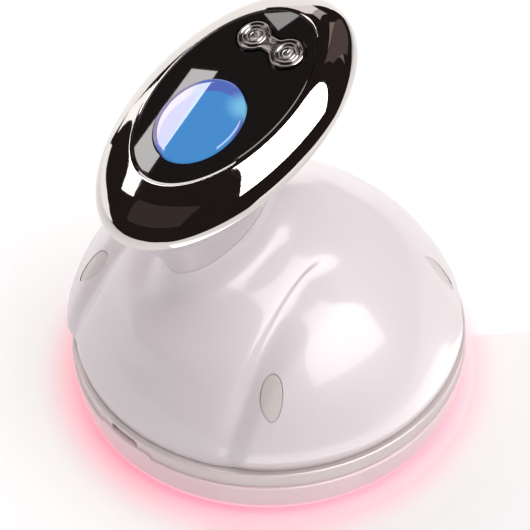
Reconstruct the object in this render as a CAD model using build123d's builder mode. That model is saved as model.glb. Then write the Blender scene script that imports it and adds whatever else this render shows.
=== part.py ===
from build123d import *
from math import cos, exp, hypot, pi, radians, sin, sqrt
import os

# Hand-held radio frequency slimming device. Millimetres, +Z up. The origin is the centre of the
# face that it rests on. -Y is the low end of the head, with the lens above and the charging port
# below; the buttons are at the raised +Y end. The device is symmetric about the YZ plane.

# Base: translucent lower shell, trim band and the rim of the dome
base_radius = 55.0          # outside of the trim band
shell_gap = 1.8             # from the rest plane up to the underside of the lower shell
shell_height = 9.6          # lower shell, underside to the band
band_height = 4.9           # trim band
dome_inset = 1.35           # how far the rim of the dome stands in from the band
shell_wall = 2.2            # moulded wall of dome, lower shell and grip
shell_floor = 2.4           # floor of the lower shell
shell_corner = 3.0          # outside radius round the underside
shell_bulge = 0.7           # the lower shell stands this far out past the band
band_wall = 1.6             # upright wall of the trim band
band_flange = 1.8           # flange of the band under the dome
lip_height = 2.6            # lip of the lower shell inside the band
lip_wall = 1.8
lip_foot = 2.0              # the lip runs this far down inside the lower shell
lip_slope = 2.0             # and slopes back to its wall over this height
floor_corner = 1.0          # bevel between floor and wall
band_edge = 0.5             # rounding of the band's outer edges
fit_gap = 0.2               # clearance between parts that seat in each other

# Dome: a spherical cap that rises into the neck by a power-sum blend
cap_rise = 44.4             # from the rim of the dome to the top of its sphere
shoulder_height = 5.7       # the sphere is widest in use this far above the rim
shoulder_inset = 0.7        # radius lost there against the base
blend_power = 6.0           # sharpness of the blend from sphere to neck
ghost_bottom = 9.7          # height above the rim where the neck starts to show in the dome
ghost_top = 29.7            # height above the rim where the neck shows in full

# Neck collar, an oval in a plane that is tilted with the head
head_tilt = 19.5            # degrees
neck_front = 33.7           # front of the collar, from the device's axis
collar_drop = 1.0           # front of the collar, below the top of the sphere
neck_half_width = 9.0
neck_half_length = 17.5
neck_flare = 4.0            # the neck widens this much on its way down to the dome
neck_flare_fall = 5.0       # height over which that flare grows
flare_front = 0.6           # share of the flare at the front of the neck
spine_reach = 18.4          # the back of the neck runs out this much into a spine
spine_fall = 14.0           # height over which it does

# Valleys, one down each side from the neck past the front plug, and the raised cheeks outside them
valley_depth = 1.7
valley_width = 3.0
valley_offset = 25.5        # from the YZ plane, beside the neck
valley_splay = 3.5          # how much further out it lies at its front end
valley_start = -4.0         # the valleys run from here, in front of the axis
valley_end = 48.0           # to here
valley_fade = 12.0          # length over which their ends fade
cheek_rise = 1.8            # the cheeks stand this far above the rest of the dome
cheek_rear = 0.35           # share of that rise that is left at the rear
cheek_turn = 18.0           # the rise changes from this far before the axis to this far behind it
cheek_edge = 4.0            # width of their edge along a valley
cheek_soft = 16.0           # extra width of that edge beside the neck
cheek_back = 32.5           # middle of their rear edge, behind the axis
cheek_fade = 3.5            # half width of the rear edge
cheek_low = 0.0             # their lower edge starts this far above the rim
cheek_full = 6.5            # height above the rim where they stand in full
rear_sink = 2.2             # the rear of the dome lies this far inside the sphere
rear_start = 5.0            # from this far in front of the axis
rear_full = 25.0            # in full this far behind it
rear_height = 16.0          # and this far above the rim
core_spread = 1.6           # the inner face follows valleys and cheeks this much wider
least_slope = 0.35          # sine of the slope below which a dent's depth no longer grows along the section

# Screws that hold dome, band and lower shell together, and the plugs that cover them
screw_circle = 46.9
screw_count = 4
plug_half_width = 2.9       # the plugs are oval, longer towards the axis
plug_half_length = 4.2
plug_gap = 0.06
plug_lift = 6.0             # underside of the plugs above the screw seats
plug_recess = 0.35
tower_wall = 1.6            # wall of the screw towers round the plug hole
screw_seat = 4.0            # seat of the screw heads, above the rim of the dome
screw_head_radius = 2.7
screw_head_height = 1.9
screw_radius = 1.45
screw_length = 11.0
screw_clearance = 0.3       # round a screw in the part that it clamps
thread_gap = 0.05           # round a screw in the boss that it bites
post_radius = 4.1

# Grip: from the collar up to the chrome bezel
grip_height = 25.1          # along the tilted axis
grip_reach = 14.1           # the head's centre lies this far up the slope from the neck's
grip_flare = 1.7            # power of the flare from the neck to the head
grip_lean = 1.1             # the flared wall is cut level, so its inset grows by this share
head_half_width = 24.1
head_half_length = 39.0
spigot_depth = 6.0
spigot_wall = 1.7
neck_web = 2.0
neck_web_depth = 6.2        # top of the web in the neck, below the collar
cable_slot_width = 10.0
cable_slot_length = 5.0
spigot_flange = 2.5
neck_screw_offset = 9.0
neck_screw_length = 8.0
neck_screw_radius = 1.25
neck_boss_radius = 2.5
neck_boss_height = 4.0      # above the collar
neck_rib = 1.6

# Bezel, panel, lens
bezel_height = 8.1
bezel_wall = 1.8
panel_shift = 2.3           # the panel's centre, up the slope from the head outline's
panel_half_width = 17.0
panel_half_length = 27.0
panel_thickness = 1.6
panel_gap = 0.1
ledge_width = 1.5
ledge_height = 1.4
lens_offset = -8.9          # along the slope, from the panel's centre
lens_half_width = 10.4
lens_half_length = 12.2
lens_crown = 1.1
lens_flange = 1.0
lens_flange_height = 0.9
diffuser_thickness = 1.2

# Buttons
button_offset = 16.35       # along the slope, from the panel's centre
button_spacing = 10.4
button_radius = 3.1
button_gap = 0.12
button_proud = 0.35
button_travel = 0.5
button_ring = 0.55          # raised ring round the cap
button_dish = 0.3           # face below that ring
button_slope = 0.25         # width of the slope between them
button_edge = 0.2           # bevel outside the ring
button_rest = 0.15          # the flange rests this far below the panel
button_flange = 0.45
button_flange_height = 0.6
frame_radius = 4.25
frame_waist = 4.2
frame_proud = 0.25
frame_recess = 0.9
recess_margin = 0.6
panel_edge = 0.25           # bevel round the panel
frame_edge = 0.3            # bevel round the chrome frame
stem_radius = 1.6
plunger_radius = 1.3
plunger_gap = 0.1
plunger_proud = 0.9
plunger_hidden = 0.8        # length of a plunger inside its switch
switch_size = 5.6
switch_height = 2.4
switch_corner = 0.5

# Head circuit board
head_board_depth = 7.0      # top of the board, below the top of the panel
board_thickness = 1.6
head_board_margin = 2.8     # in from the panel's outline
head_screw_x = 10.2
head_screw_y = 10.0
head_boss_radius = 2.6
small_screw_radius = 0.8
small_head_radius = 1.6
small_head_height = 1.1
small_screw_length = 4.2
pilot_spare = 0.8           # a blind screw hole is this much deeper than its screw
led_size = 3.0
led_height = 1.3
head_led_circle = 6.0
head_led_count = 3

# Treatment side: steel probe, electrodes, red lights
probe_radius = 22.0
probe_face = 1.6
probe_flange = 2.5
probe_flange_height = 1.2
probe_edge = 1.2
seal_height = 0.8
piezo_radius = 15.0
piezo_thickness = 2.4
clamp_width = 5.0
clamp_height = 1.5
rib_width = 2.7
clamp_screw_count = 4
electrode_circle = 32.3
electrode_count = 4
electrode_head_radius = 4.3
electrode_tip_radius = 2.8
electrode_shank_radius = 2.0
electrode_length = 8.2
nut_flats = 6.2
nut_height = 2.0
led_board_inner = 36.6
led_board_outer = 41.0
led_board_thickness = 1.2
led_board_lift = 2.0        # underside above the floor
led_ring_circle = 38.8
red_led_count = 16
peg_count = 8
peg_radius = 1.0

# Main board, port, battery
main_board_radius = 39.5
board_tongue_width = 14.0
standoff_x = 28.9
standoff_y = 16.7
standoff_radius = 2.6
port_width = 7.5
port_height = 2.6
port_length = 5.6
port_wall = 0.3
slot_width = 9.7
slot_height = 2.8
slot_rise = 2.45            # centre of the slot above the bottom of the band
tab_half_width = 9.3        # raised tab of the lower shell below the slot
tab_height = 1.1
battery_radius = 9.2
battery_length = 65.0
battery_x = -16.5
battery_edge = 0.8          # rounding of the battery's ends
battery_lift = 4.6          # underside of the battery above the board
cap_radius = 2.8            # contact at the battery's end
cap_height = 0.8
bracket_width = 19.0
bracket_plate = 1.6
saddle_thickness = 3.0
saddle_gap = 0.15
saddle_spread = 40.0
core_width = 20.0
core_length = 11.0
core_height = 14.0
core_limb = 3.0             # thickness of the core's yokes and half of its middle limb
core_x = 19.0
coil_gap = 0.2
coil_build = 3.6            # winding thickness round the middle limb
cable_width = 8.0
cable_thickness = 0.6
cable_start = -9.0          # where the ribbon leaves the main board
cable_bend = 6.0

# Heights that follow
floor_under = shell_gap
floor_top = floor_under + shell_floor
shell_top = floor_under + shell_height
rim_z = shell_top + band_height
dome_radius = base_radius - dome_inset
dome_top = rim_z + cap_rise
shoulder_z = rim_z + shoulder_height
shoulder_radius = base_radius - shoulder_inset
sphere_z = (dome_top**2 - shoulder_radius**2 - shoulder_z**2) / (2 * (dome_top - shoulder_z))
sphere_radius = dome_top - sphere_z
collar_z = dome_top - collar_drop
ghost_z = rim_z + ghost_bottom
slot_z = shell_top + slot_rise
main_board_top = slot_z - port_height / 2
main_board_under = main_board_top - board_thickness
seat_z = rim_z + screw_seat
probe_seat = floor_top + seal_height
clamp_under = probe_seat + probe_flange_height
clamp_top = clamp_under + clamp_height
rib_outer = probe_radius + probe_flange + fit_gap + rib_width
clamp_outer = rib_outer - fit_gap
clamp_circle = rib_outer - rib_width / 2


def smooth(value, low, high):
    """0 below low, 1 above high, with a smooth step between them"""
    t = min(max((value - low) / (high - low), 0.0), 1.0)
    return t * t * (3 - 2 * t)


def tilt_at(height):
    """Tilt in radians of the dome's section that passes the neck's front at this height"""
    return radians(head_tilt) * min(max((height - ghost_z) / (collar_z - ghost_z), 0.0), 1.0)


def section_plane(height):
    """Plane of that section; its local y runs up the slope, from the front of the collar"""
    tilt = tilt_at(height)
    return Plane(origin=(0, -neck_front, height), x_dir=(1, 0, 0), z_dir=(0, -sin(tilt), cos(tilt)))


def dent(x, y, height, wider=0.0):
    """Depth below the smooth dome: a valley down each side, less the raised cheek outside it"""
    side = abs(x)
    line = valley_offset + valley_splay * smooth(-y, valley_start, valley_end)
    along = smooth(-y, valley_start - wider, valley_start + valley_fade - wider)
    along *= 1 - smooth(-y, valley_end - valley_fade + wider, valley_end + wider)
    valley = valley_depth * along * exp(-(((side - line) / (valley_width + wider)) ** 2))
    edge = cheek_edge + cheek_soft * smooth(y, -valley_fade, valley_fade)
    cheek = smooth(side - line - wider, 0, edge)
    cheek *= 1 - smooth(y, cheek_back - cheek_fade - wider, cheek_back + cheek_fade - wider)
    cheek *= smooth(height, rim_z + cheek_low + wider, rim_z + cheek_full + wider)
    rise = cheek_rise * (1 - (1 - cheek_rear) * smooth(y, -cheek_turn, cheek_turn))
    sink = rear_sink * smooth(y, -rear_start, rear_full) * smooth(height, rim_z, rim_z + rear_height)
    return valley + sink - rise * cheek


def flare_at(away):
    """Widening of the neck where the section passes the sphere's centre at this distance, 0 at the collar"""
    above = -away - sphere_radius
    collar = (collar_z - sphere_z) * cos(radians(head_tilt)) + neck_front * sin(radians(head_tilt)) - sphere_radius
    grown = exp(-max(above, 0.0) / neck_flare_fall) + max(-above, 0.0) / neck_flare_fall
    return neck_flare * (grown - exp(-collar / neck_flare_fall))


def dome_outline(height, inset, wider=0.0, points=60):
    """Points of one closed section: a power sum of the sphere's circle and the neck's oval"""
    tilt = tilt_at(height)
    away = (sphere_z - height) * cos(tilt) - neck_front * sin(tilt)
    circle_y = (sphere_z - height) * sin(tilt) + neck_front * cos(tilt)
    circle = sqrt(max((sphere_radius - inset) ** 2 - away**2, 0.0))
    rolled = shoulder_z - height
    if rolled > 0:
        circle = shoulder_radius - inset - (dome_inset - shoulder_inset) * (rolled / shoulder_height) ** 2
    share = tilt / radians(head_tilt)
    centre = circle_y + (neck_half_length - circle_y) * share
    ghost = smooth(height, ghost_z, rim_z + ghost_top)
    flare = flare_at(away)
    half_width = (neck_half_width + flare - inset) * ghost
    front = (centre + flare_front * flare - inset) * ghost
    spine = spine_reach * smooth(collar_z - height, 0, spine_fall)
    back = (neck_half_length + spine - inset) * ghost
    outline = []
    for step in range(points):
        angle = 2 * pi * step / points
        side, ahead = sin(angle), cos(angle)
        offset = circle_y - centre
        ball = max(offset * ahead + sqrt(max(circle**2 - (offset * side) ** 2, 0.0)), 0.0)
        reach = front if ahead < 0 else back
        neck = 0.0
        if ghost > 0:
            neck = 1 / hypot(side / half_width, ahead / reach)
        radius = (ball**blend_power + neck**blend_power) ** (1 / blend_power)
        x, y = radius * side, centre + radius * ahead
        ground = -neck_front + y * cos(tilt)
        steep = max(hypot(x, ground) / sphere_radius, least_slope)
        share_left = (radius - dent(x, ground, height, wider) / steep) / radius
        x, y = x * share_left, centre + (y - centre) * share_left
        outline.append((x, y))
    return outline


def dome_heights(lowest, highest):
    """Heights of the sections, closer together where the neck rises out of the sphere"""
    shares = (0, 0.06, 0.13, 0.24, 0.36, 0.47, 0.57, 0.66, 0.74, 0.81, 0.87, 0.93, 1)
    return [lowest + (highest - lowest) * share for share in shares]


def head_plane(above, up_slope=0.0):
    """Plane parallel to the collar, with its centre moved along the slope"""
    tilt = radians(head_tilt)
    along = neck_half_length + up_slope
    y = -neck_front + along * cos(tilt) - above * sin(tilt)
    z = collar_z + along * sin(tilt) + above * cos(tilt)
    return Plane(origin=(0, y, z), x_dir=(1, 0, 0), z_dir=(0, -sin(tilt), cos(tilt)))


def panel_plane(depth):
    """Plane this far below the top of the display panel, centred on the panel"""
    return head_plane(grip_height + bezel_height - depth, grip_reach + panel_shift)


def grip_oval(share, inset):
    """Half width, half length and centre of the grip's section, share 0 at the collar and 1 at the bezel"""
    flare = share**grip_flare
    inset = inset * (1 + grip_lean * flare)
    half_width = neck_half_width + (head_half_width - neck_half_width) * flare - inset
    half_length = neck_half_length + (head_half_length - neck_half_length) * flare - inset
    return half_width, half_length, grip_reach * flare


def bezel_oval(angle, inset):
    """Half width, half length and centre of the bezel's section: a quarter round from panel to rim"""
    half_width = panel_half_width + (head_half_width - panel_half_width) * sin(angle) - inset
    half_length = panel_half_length + (head_half_length - panel_half_length) * sin(angle) - inset
    return half_width, half_length, grip_reach + panel_shift * (1 - sin(angle))


def make_screw(head_radius, head_height, radius, length):
    """Pan-head screw that points down, with the underside of its head at the origin"""
    with BuildPart() as screw:
        with BuildSketch():
            Circle(head_radius)
        extrude(amount=head_height)
        fillet(screw.edges().group_by(Axis.Z)[-1], radius=head_height * 0.4)
        with BuildSketch():
            Circle(radius)
        extrude(amount=-length)
        with BuildSketch(Plane.XY.offset(head_height)):
            Rectangle(head_radius * 1.3, head_radius * 0.32)
            Rectangle(head_radius * 0.32, head_radius * 1.3)
        extrude(amount=-head_height * 0.5, mode=Mode.SUBTRACT)
    return screw.part


# Outer form of the dome and its neck
with BuildPart() as dome_form:
    for height in dome_heights(rim_z, collar_z):
        with BuildSketch(section_plane(height)):
            with BuildLine():
                Spline(*dome_outline(height, 0), periodic=True)
            make_face()
    loft()

# Inner form, one wall thickness inside it
with BuildPart() as dome_core:
    for height in dome_heights(rim_z - 1, collar_z + 1):
        with BuildSketch(section_plane(height)):
            with BuildLine():
                Spline(*dome_outline(height, shell_wall, core_spread), periodic=True)
            make_face()
    loft()

# Web across the neck, which the grip is screwed to from inside
with BuildPart() as neck_floor:
    with BuildSketch(head_plane(-neck_web_depth)):
        Ellipse(neck_half_width * 2, neck_half_length * 2)
    extrude(amount=-neck_web)
    add(dome_core.part, mode=Mode.INTERSECT)

# Towers that take the screws through the dome
with BuildPart() as screw_towers:
    with BuildSketch(Plane.XY.offset(rim_z)):
        with PolarLocations(screw_circle, screw_count, start_angle=180 / screw_count):
            Ellipse(plug_half_length + tower_wall, plug_half_width + tower_wall)
    extrude(amount=cap_rise)
    add(dome_form.part, mode=Mode.INTERSECT)

with BuildPart() as dome_shell:
    add(dome_form.part)
    add(dome_core.part, mode=Mode.SUBTRACT)
    add(neck_floor.part)
    add(screw_towers.part)
    with BuildSketch(Plane.XY.offset(seat_z)):
        with PolarLocations(screw_circle, screw_count, start_angle=180 / screw_count):
            Ellipse(plug_half_length, plug_half_width)
    extrude(amount=cap_rise, mode=Mode.SUBTRACT)
    with BuildSketch(Plane.XY.offset(rim_z)):
        with PolarLocations(screw_circle, screw_count, start_angle=180 / screw_count):
            Circle(screw_radius + screw_clearance)
    extrude(amount=screw_seat, mode=Mode.SUBTRACT)
    with BuildSketch(head_plane(-neck_web_depth)):
        Rectangle(cable_slot_width, cable_slot_length)
        with GridLocations(0, 2 * neck_screw_offset, 1, 2):
            Circle(neck_screw_radius + screw_clearance)
    extrude(amount=-neck_web, mode=Mode.SUBTRACT)
    with BuildSketch(head_plane(-neck_web_depth)):
        Ellipse(neck_half_width - shell_wall - fit_gap, neck_half_length - shell_wall - fit_gap)
    extrude(amount=2 * neck_web_depth, mode=Mode.SUBTRACT)
dome_shell.part.label = "dome_shell"
export_step(dome_shell.part, "parts/dome_shell.step")

# Plugs follow the slope of the dome, a little below it
with BuildPart() as screw_plugs:
    with BuildSketch(Plane.XY.offset(seat_z + plug_lift)):
        with PolarLocations(screw_circle, screw_count, start_angle=180 / screw_count):
            Ellipse(plug_half_length - plug_gap, plug_half_width - plug_gap)
    extrude(amount=cap_rise)
    add(dome_form.part.moved(Location((0, 0, -plug_recess))), mode=Mode.INTERSECT)
screw_plugs.part.label = "screw_plugs"
export_step(screw_plugs.part, "parts/screw_plugs.step")

with BuildPart() as shell_screws:
    with Locations((0, 0, seat_z)):
        with PolarLocations(screw_circle, screw_count, start_angle=180 / screw_count):
            add(make_screw(screw_head_radius, screw_head_height, screw_radius, screw_length))
shell_screws.part.label = "shell_screws"
export_step(shell_screws.part, "parts/shell_screws.step")

# Trim band with its flange under the dome, notched for the tab and slotted for the port
with BuildPart() as trim_band:
    with BuildSketch(Plane.XZ):
        with BuildLine():
            wall_in = base_radius - band_wall
            flange_in = dome_radius - shell_wall - fit_gap
            Polyline(
                (wall_in, shell_top), (base_radius, shell_top), (base_radius, rim_z), (flange_in, rim_z),
                (flange_in, rim_z - band_flange), (wall_in, rim_z - band_flange), close=True)
        make_face()
    revolve(axis=Axis.Z)
    outer_edges = trim_band.edges().filter_by(GeomType.CIRCLE).filter_by(lambda e: e.radius > base_radius - 0.1)
    fillet(outer_edges, radius=band_edge)
    with BuildSketch(Plane.XZ.offset(base_radius - 2 * band_wall)):
        with Locations((0, shell_top)):
            Rectangle(2 * tab_half_width + fit_gap, 2 * tab_height + fit_gap)
    extrude(amount=2 * band_wall + fit_gap, mode=Mode.SUBTRACT)
    with BuildSketch(Plane.XZ.offset(base_radius - port_length)):
        with Locations((0, slot_z)):
            SlotOverall(slot_width, slot_height)
    extrude(amount=2 * port_length, mode=Mode.SUBTRACT)
trim_band.part.label = "trim_band"
export_step(trim_band.part, "parts/trim_band.step")

# Lower shell: translucent cup with lip, tab, posts, standoffs, clamp rib and pegs
shell_outer = base_radius + shell_bulge
shell_inner = shell_outer - shell_wall
lip_outer = base_radius - band_wall - fit_gap
lip_inner = lip_outer - lip_wall
probe_hole = probe_radius + fit_gap
with BuildPart() as lower_shell:
    with BuildSketch(Plane.XZ):
        with BuildLine():
            Polyline(
                (shell_outer, floor_under + shell_corner), (shell_outer, shell_top), (lip_outer, shell_top),
                (lip_outer, shell_top + lip_height), (lip_inner, shell_top + lip_height),
                (lip_inner, shell_top - lip_foot), (shell_inner, shell_top - lip_foot - lip_slope),
                (shell_inner, floor_top + floor_corner),
                (shell_inner - floor_corner, floor_top), (probe_hole, floor_top), (probe_hole, floor_under),
                (shell_outer - shell_corner, floor_under))
            RadiusArc(
                (shell_outer - shell_corner, floor_under), (shell_outer, floor_under + shell_corner),
                -shell_corner)
        make_face()
    revolve(axis=Axis.Z)
    with BuildSketch(Plane.XY.offset(floor_top)):
        with PolarLocations(screw_circle, screw_count, start_angle=180 / screw_count):
            Circle(post_radius)
    extrude(amount=rim_z - floor_top)
    with BuildSketch(Plane.XY.offset(floor_top)):
        with GridLocations(2 * standoff_x, 2 * standoff_y, 2, 2):
            Circle(standoff_radius)
    extrude(amount=main_board_under - floor_top)
    with BuildSketch(Plane.XY.offset(floor_top)):
        Circle(rib_outer)
        Circle(rib_outer - rib_width, mode=Mode.SUBTRACT)
    extrude(amount=clamp_under - floor_top)
    with BuildSketch(Plane.XY.offset(floor_top)):
        with PolarLocations(led_ring_circle, peg_count, start_angle=180 / red_led_count):
            Circle(peg_radius)
    extrude(amount=led_board_lift)
    with BuildSketch(Plane.XY.offset(shell_top)):
        Circle(base_radius)
        Circle(lip_outer, mode=Mode.SUBTRACT)
        with Locations((0, -base_radius)):
            Rectangle(2 * tab_half_width, base_radius, mode=Mode.INTERSECT)
    extrude(amount=tab_height)
    with BuildSketch(Plane.XY.offset(rim_z)):
        with PolarLocations(screw_circle, screw_count, start_angle=180 / screw_count):
            Circle(screw_radius + thread_gap)
    extrude(amount=-(screw_length - screw_seat + pilot_spare), mode=Mode.SUBTRACT)
    with BuildSketch(Plane.XY.offset(main_board_under)):
        with GridLocations(2 * standoff_x, 2 * standoff_y, 2, 2):
            Circle(small_screw_radius + thread_gap)
    extrude(amount=-(small_screw_length - board_thickness + pilot_spare), mode=Mode.SUBTRACT)
    with BuildSketch(Plane.XY.offset(clamp_under)):
        with PolarLocations(clamp_circle, clamp_screw_count, start_angle=180 / clamp_screw_count):
            Circle(small_screw_radius + thread_gap)
    extrude(amount=-(small_screw_length - clamp_height + pilot_spare / 2), mode=Mode.SUBTRACT)
    with BuildSketch(Plane.XY.offset(floor_under)):
        with PolarLocations(electrode_circle, electrode_count):
            Circle(electrode_shank_radius + thread_gap)
    extrude(amount=shell_floor, mode=Mode.SUBTRACT)
    with BuildSketch(Plane.XZ.offset(base_radius - port_length)):
        with Locations((0, slot_z)):
            SlotOverall(slot_width, slot_height)
    extrude(amount=2 * port_length, mode=Mode.SUBTRACT)
lower_shell.part.label = "lower_shell"
export_step(lower_shell.part, "parts/lower_shell.step")

# Treatment side: steel probe with its seal, clamp ring and piezo disc
with BuildPart() as treatment_probe:
    with BuildSketch(Plane.XZ):
        with BuildLine():
            Polyline(
                (probe_radius, probe_edge), (probe_radius, probe_seat),
                (probe_radius + probe_flange, probe_seat), (probe_radius + probe_flange, clamp_under),
                (probe_radius - probe_face, clamp_under), (probe_radius - probe_face, probe_face),
                (0, probe_face), (0, 0), (probe_radius - probe_edge, 0))
            RadiusArc((probe_radius - probe_edge, 0), (probe_radius, probe_edge), -probe_edge)
        make_face()
    revolve(axis=Axis.Z)
treatment_probe.part.label = "treatment_probe"
export_step(treatment_probe.part, "parts/treatment_probe.step")

with BuildPart() as probe_seal:
    with BuildSketch(Plane.XY.offset(floor_top)):
        Circle(probe_radius + probe_flange)
        Circle(probe_hole, mode=Mode.SUBTRACT)
    extrude(amount=seal_height)
probe_seal.part.label = "probe_seal"
export_step(probe_seal.part, "parts/probe_seal.step")

with BuildPart() as piezo_disc:
    with BuildSketch(Plane.XY.offset(probe_face)):
        Circle(piezo_radius)
    extrude(amount=piezo_thickness)
piezo_disc.part.label = "piezo_disc"
export_step(piezo_disc.part, "parts/piezo_disc.step")

with BuildPart() as probe_clamp:
    with BuildSketch(Plane.XY.offset(clamp_under)):
        Circle(clamp_outer)
        Circle(clamp_outer - clamp_width - rib_width, mode=Mode.SUBTRACT)
        with PolarLocations(clamp_circle, clamp_screw_count, start_angle=180 / clamp_screw_count):
            Circle(small_screw_radius + screw_clearance / 2, mode=Mode.SUBTRACT)
    extrude(amount=clamp_height)
probe_clamp.part.label = "probe_clamp"
export_step(probe_clamp.part, "parts/probe_clamp.step")

small_screw = make_screw(small_head_radius, small_head_height, small_screw_radius, small_screw_length)
with BuildPart() as clamp_screws:
    with Locations((0, 0, clamp_top)):
        with PolarLocations(clamp_circle, clamp_screw_count, start_angle=180 / clamp_screw_count):
            add(small_screw)
clamp_screws.part.label = "clamp_screws"
export_step(clamp_screws.part, "parts/clamp_screws.step")

# Electrodes: round-headed studs that stand level with the probe, nutted inside
with BuildPart() as electrode:
    with BuildSketch(Plane.XZ):
        with BuildLine():
            Polyline(
                (electrode_head_radius, floor_under), (electrode_shank_radius, floor_under),
                (electrode_shank_radius, floor_under + electrode_length),
                (0, floor_under + electrode_length), (0, 0), (electrode_tip_radius, 0))
            TangentArc(
                (electrode_tip_radius, 0), (electrode_head_radius, floor_under), tangent=(1, 0))
        make_face()
    revolve(axis=Axis.Z)
with BuildPart() as rf_electrodes:
    with PolarLocations(electrode_circle, electrode_count):
        add(electrode.part)
rf_electrodes.part.label = "rf_electrodes"
export_step(rf_electrodes.part, "parts/rf_electrodes.step")

with BuildPart() as electrode_nuts:
    with BuildSketch(Plane.XY.offset(floor_top)):
        with PolarLocations(electrode_circle, electrode_count):
            RegularPolygon(nut_flats / 2, 6, major_radius=False)
            Circle(electrode_shank_radius + thread_gap, mode=Mode.SUBTRACT)
    extrude(amount=nut_height)
electrode_nuts.part.label = "electrode_nuts"
export_step(electrode_nuts.part, "parts/electrode_nuts.step")

# Ring of red lights that shine down and out through the lower shell
led_board_under = floor_top + led_board_lift
with BuildPart() as led_ring_board:
    with BuildSketch(Plane.XY.offset(led_board_under)):
        Circle(led_board_outer)
        Circle(led_board_inner, mode=Mode.SUBTRACT)
    extrude(amount=led_board_thickness)
led_ring_board.part.label = "led_ring_board"
export_step(led_ring_board.part, "parts/led_ring_board.step")

with BuildPart() as red_leds:
    with BuildSketch(Plane.XY.offset(led_board_under)):
        with PolarLocations(led_ring_circle, red_led_count):
            RectangleRounded(led_size, led_size, led_size / 8)
    extrude(amount=-led_height)
red_leds.part.label = "red_leds"
export_step(red_leds.part, "parts/red_leds.step")

# Main board with the tongue that carries the charging port
with BuildPart() as main_board:
    with BuildSketch(Plane.XY.offset(main_board_under)):
        Circle(main_board_radius)
        tongue_end = sqrt(lip_inner**2 - (board_tongue_width / 2) ** 2) - fit_gap
        with Locations((0, -tongue_end / 2)):
            Rectangle(board_tongue_width, tongue_end)
        with GridLocations(2 * standoff_x, 2 * standoff_y, 2, 2):
            Circle(small_screw_radius + screw_clearance / 2, mode=Mode.SUBTRACT)
    extrude(amount=board_thickness)
main_board.part.label = "main_board"
export_step(main_board.part, "parts/main_board.step")

with BuildPart() as board_screws:
    with Locations((0, 0, main_board_top)):
        with GridLocations(2 * standoff_x, 2 * standoff_y, 2, 2):
            add(small_screw)
board_screws.part.label = "board_screws"
export_step(board_screws.part, "parts/board_screws.step")

port_front = base_radius - band_wall - panel_gap
with BuildPart() as usb_port:
    with BuildSketch(Plane.XZ.offset(port_front)) as port_outline:
        with Locations((0, slot_z)):
            Rectangle(port_width, port_height)
        chamfer(port_outline.vertices().group_by(Axis.Z)[0], length=port_height * 0.35)
    extrude(amount=-port_length)
    with BuildSketch(Plane.XZ.offset(port_front)):
        add(port_outline.sketch)
        offset(amount=-port_wall, mode=Mode.REPLACE)
    extrude(amount=-(port_length - 2 * port_wall), mode=Mode.SUBTRACT)
usb_port.part.label = "usb_port"
export_step(usb_port.part, "parts/usb_port.step")

with BuildPart() as port_tongue:
    with BuildSketch(Plane.XZ.offset(port_front - port_length + 2 * port_wall)):
        with Locations((0, slot_z)):
            Rectangle(port_width / 2, port_height / 4)
    extrude(amount=port_length - 3 * port_wall)
port_tongue.part.label = "port_tongue"
export_step(port_tongue.part, "parts/port_tongue.step")

# Battery along Y in a bracket that stands on the main board
battery_z = main_board_top + battery_lift + battery_radius
with BuildPart() as battery_cell:
    with BuildSketch(Plane.XZ.offset(battery_length / 2)):
        with Locations((battery_x, battery_z)):
            Circle(battery_radius)
    extrude(amount=-battery_length)
    fillet(battery_cell.edges(), radius=battery_edge)
    with BuildSketch(Plane.XZ.offset(battery_length / 2)):
        with Locations((battery_x, battery_z)):
            Circle(cap_radius)
    extrude(amount=cap_height)
battery_cell.part.label = "battery_cell"
export_step(battery_cell.part, "parts/battery_cell.step")

with BuildPart() as battery_bracket:
    with BuildSketch(Plane.XY.offset(main_board_top)):
        with Locations((battery_x, 0)):
            RectangleRounded(bracket_width, saddle_spread + 4 * saddle_thickness, 2)
            Rectangle(bracket_width / 2, saddle_spread / 2, mode=Mode.SUBTRACT)
    extrude(amount=bracket_plate)
    with BuildSketch(Plane.XY.offset(main_board_top)):
        with Locations((battery_x, 0)):
            with GridLocations(0, saddle_spread, 1, 2):
                Rectangle(bracket_width, saddle_thickness)
    extrude(amount=battery_z - main_board_top)
    with BuildSketch(Plane.XZ.offset(battery_length / 2)):
        with Locations((battery_x, battery_z)):
            Circle(battery_radius + saddle_gap)
    extrude(amount=-battery_length, mode=Mode.SUBTRACT)
battery_bracket.part.label = "battery_bracket"
export_step(battery_bracket.part, "parts/battery_bracket.step")

# Drive transformer: a framed core with its winding on the middle limb
with BuildPart() as transformer_core:
    with BuildSketch(Plane.XZ.offset(core_length / 2)):
        with Locations((core_x, main_board_top + core_height / 2)):
            Rectangle(core_width, core_height)
            window = core_width / 2 - 2 * core_limb
            with GridLocations(window + 2 * core_limb, 0, 2, 1):
                Rectangle(window, core_height - 2 * core_limb, mode=Mode.SUBTRACT)
    extrude(amount=-core_length)
transformer_core.part.label = "transformer_core"
export_step(transformer_core.part, "parts/transformer_core.step")

with BuildPart() as transformer_coil:
    with BuildSketch(Plane.XY.offset(main_board_top + core_limb + coil_gap)):
        with Locations((core_x, 0)):
            RectangleRounded(2 * core_limb + 2 * coil_build, core_length + 2 * coil_build, coil_build)
            Rectangle(2 * (core_limb + coil_gap), core_length + 2 * coil_gap, mode=Mode.SUBTRACT)
    extrude(amount=core_height - 2 * core_limb - 2 * coil_gap)
transformer_coil.part.label = "transformer_coil"
export_step(transformer_coil.part, "parts/transformer_coil.step")

# Grip: hollow neck and underside of the head, with its spigot in the dome's neck
grip_shares = (0, 0.2, 0.4, 0.58, 0.74, 0.88, 1)
with BuildPart() as grip_form:
    for share in grip_shares:
        half_width, half_length, centre = grip_oval(share, 0)
        with BuildSketch(head_plane(grip_height * share)):
            with Locations((0, centre)):
                Ellipse(half_width, half_length)
    loft()

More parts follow.
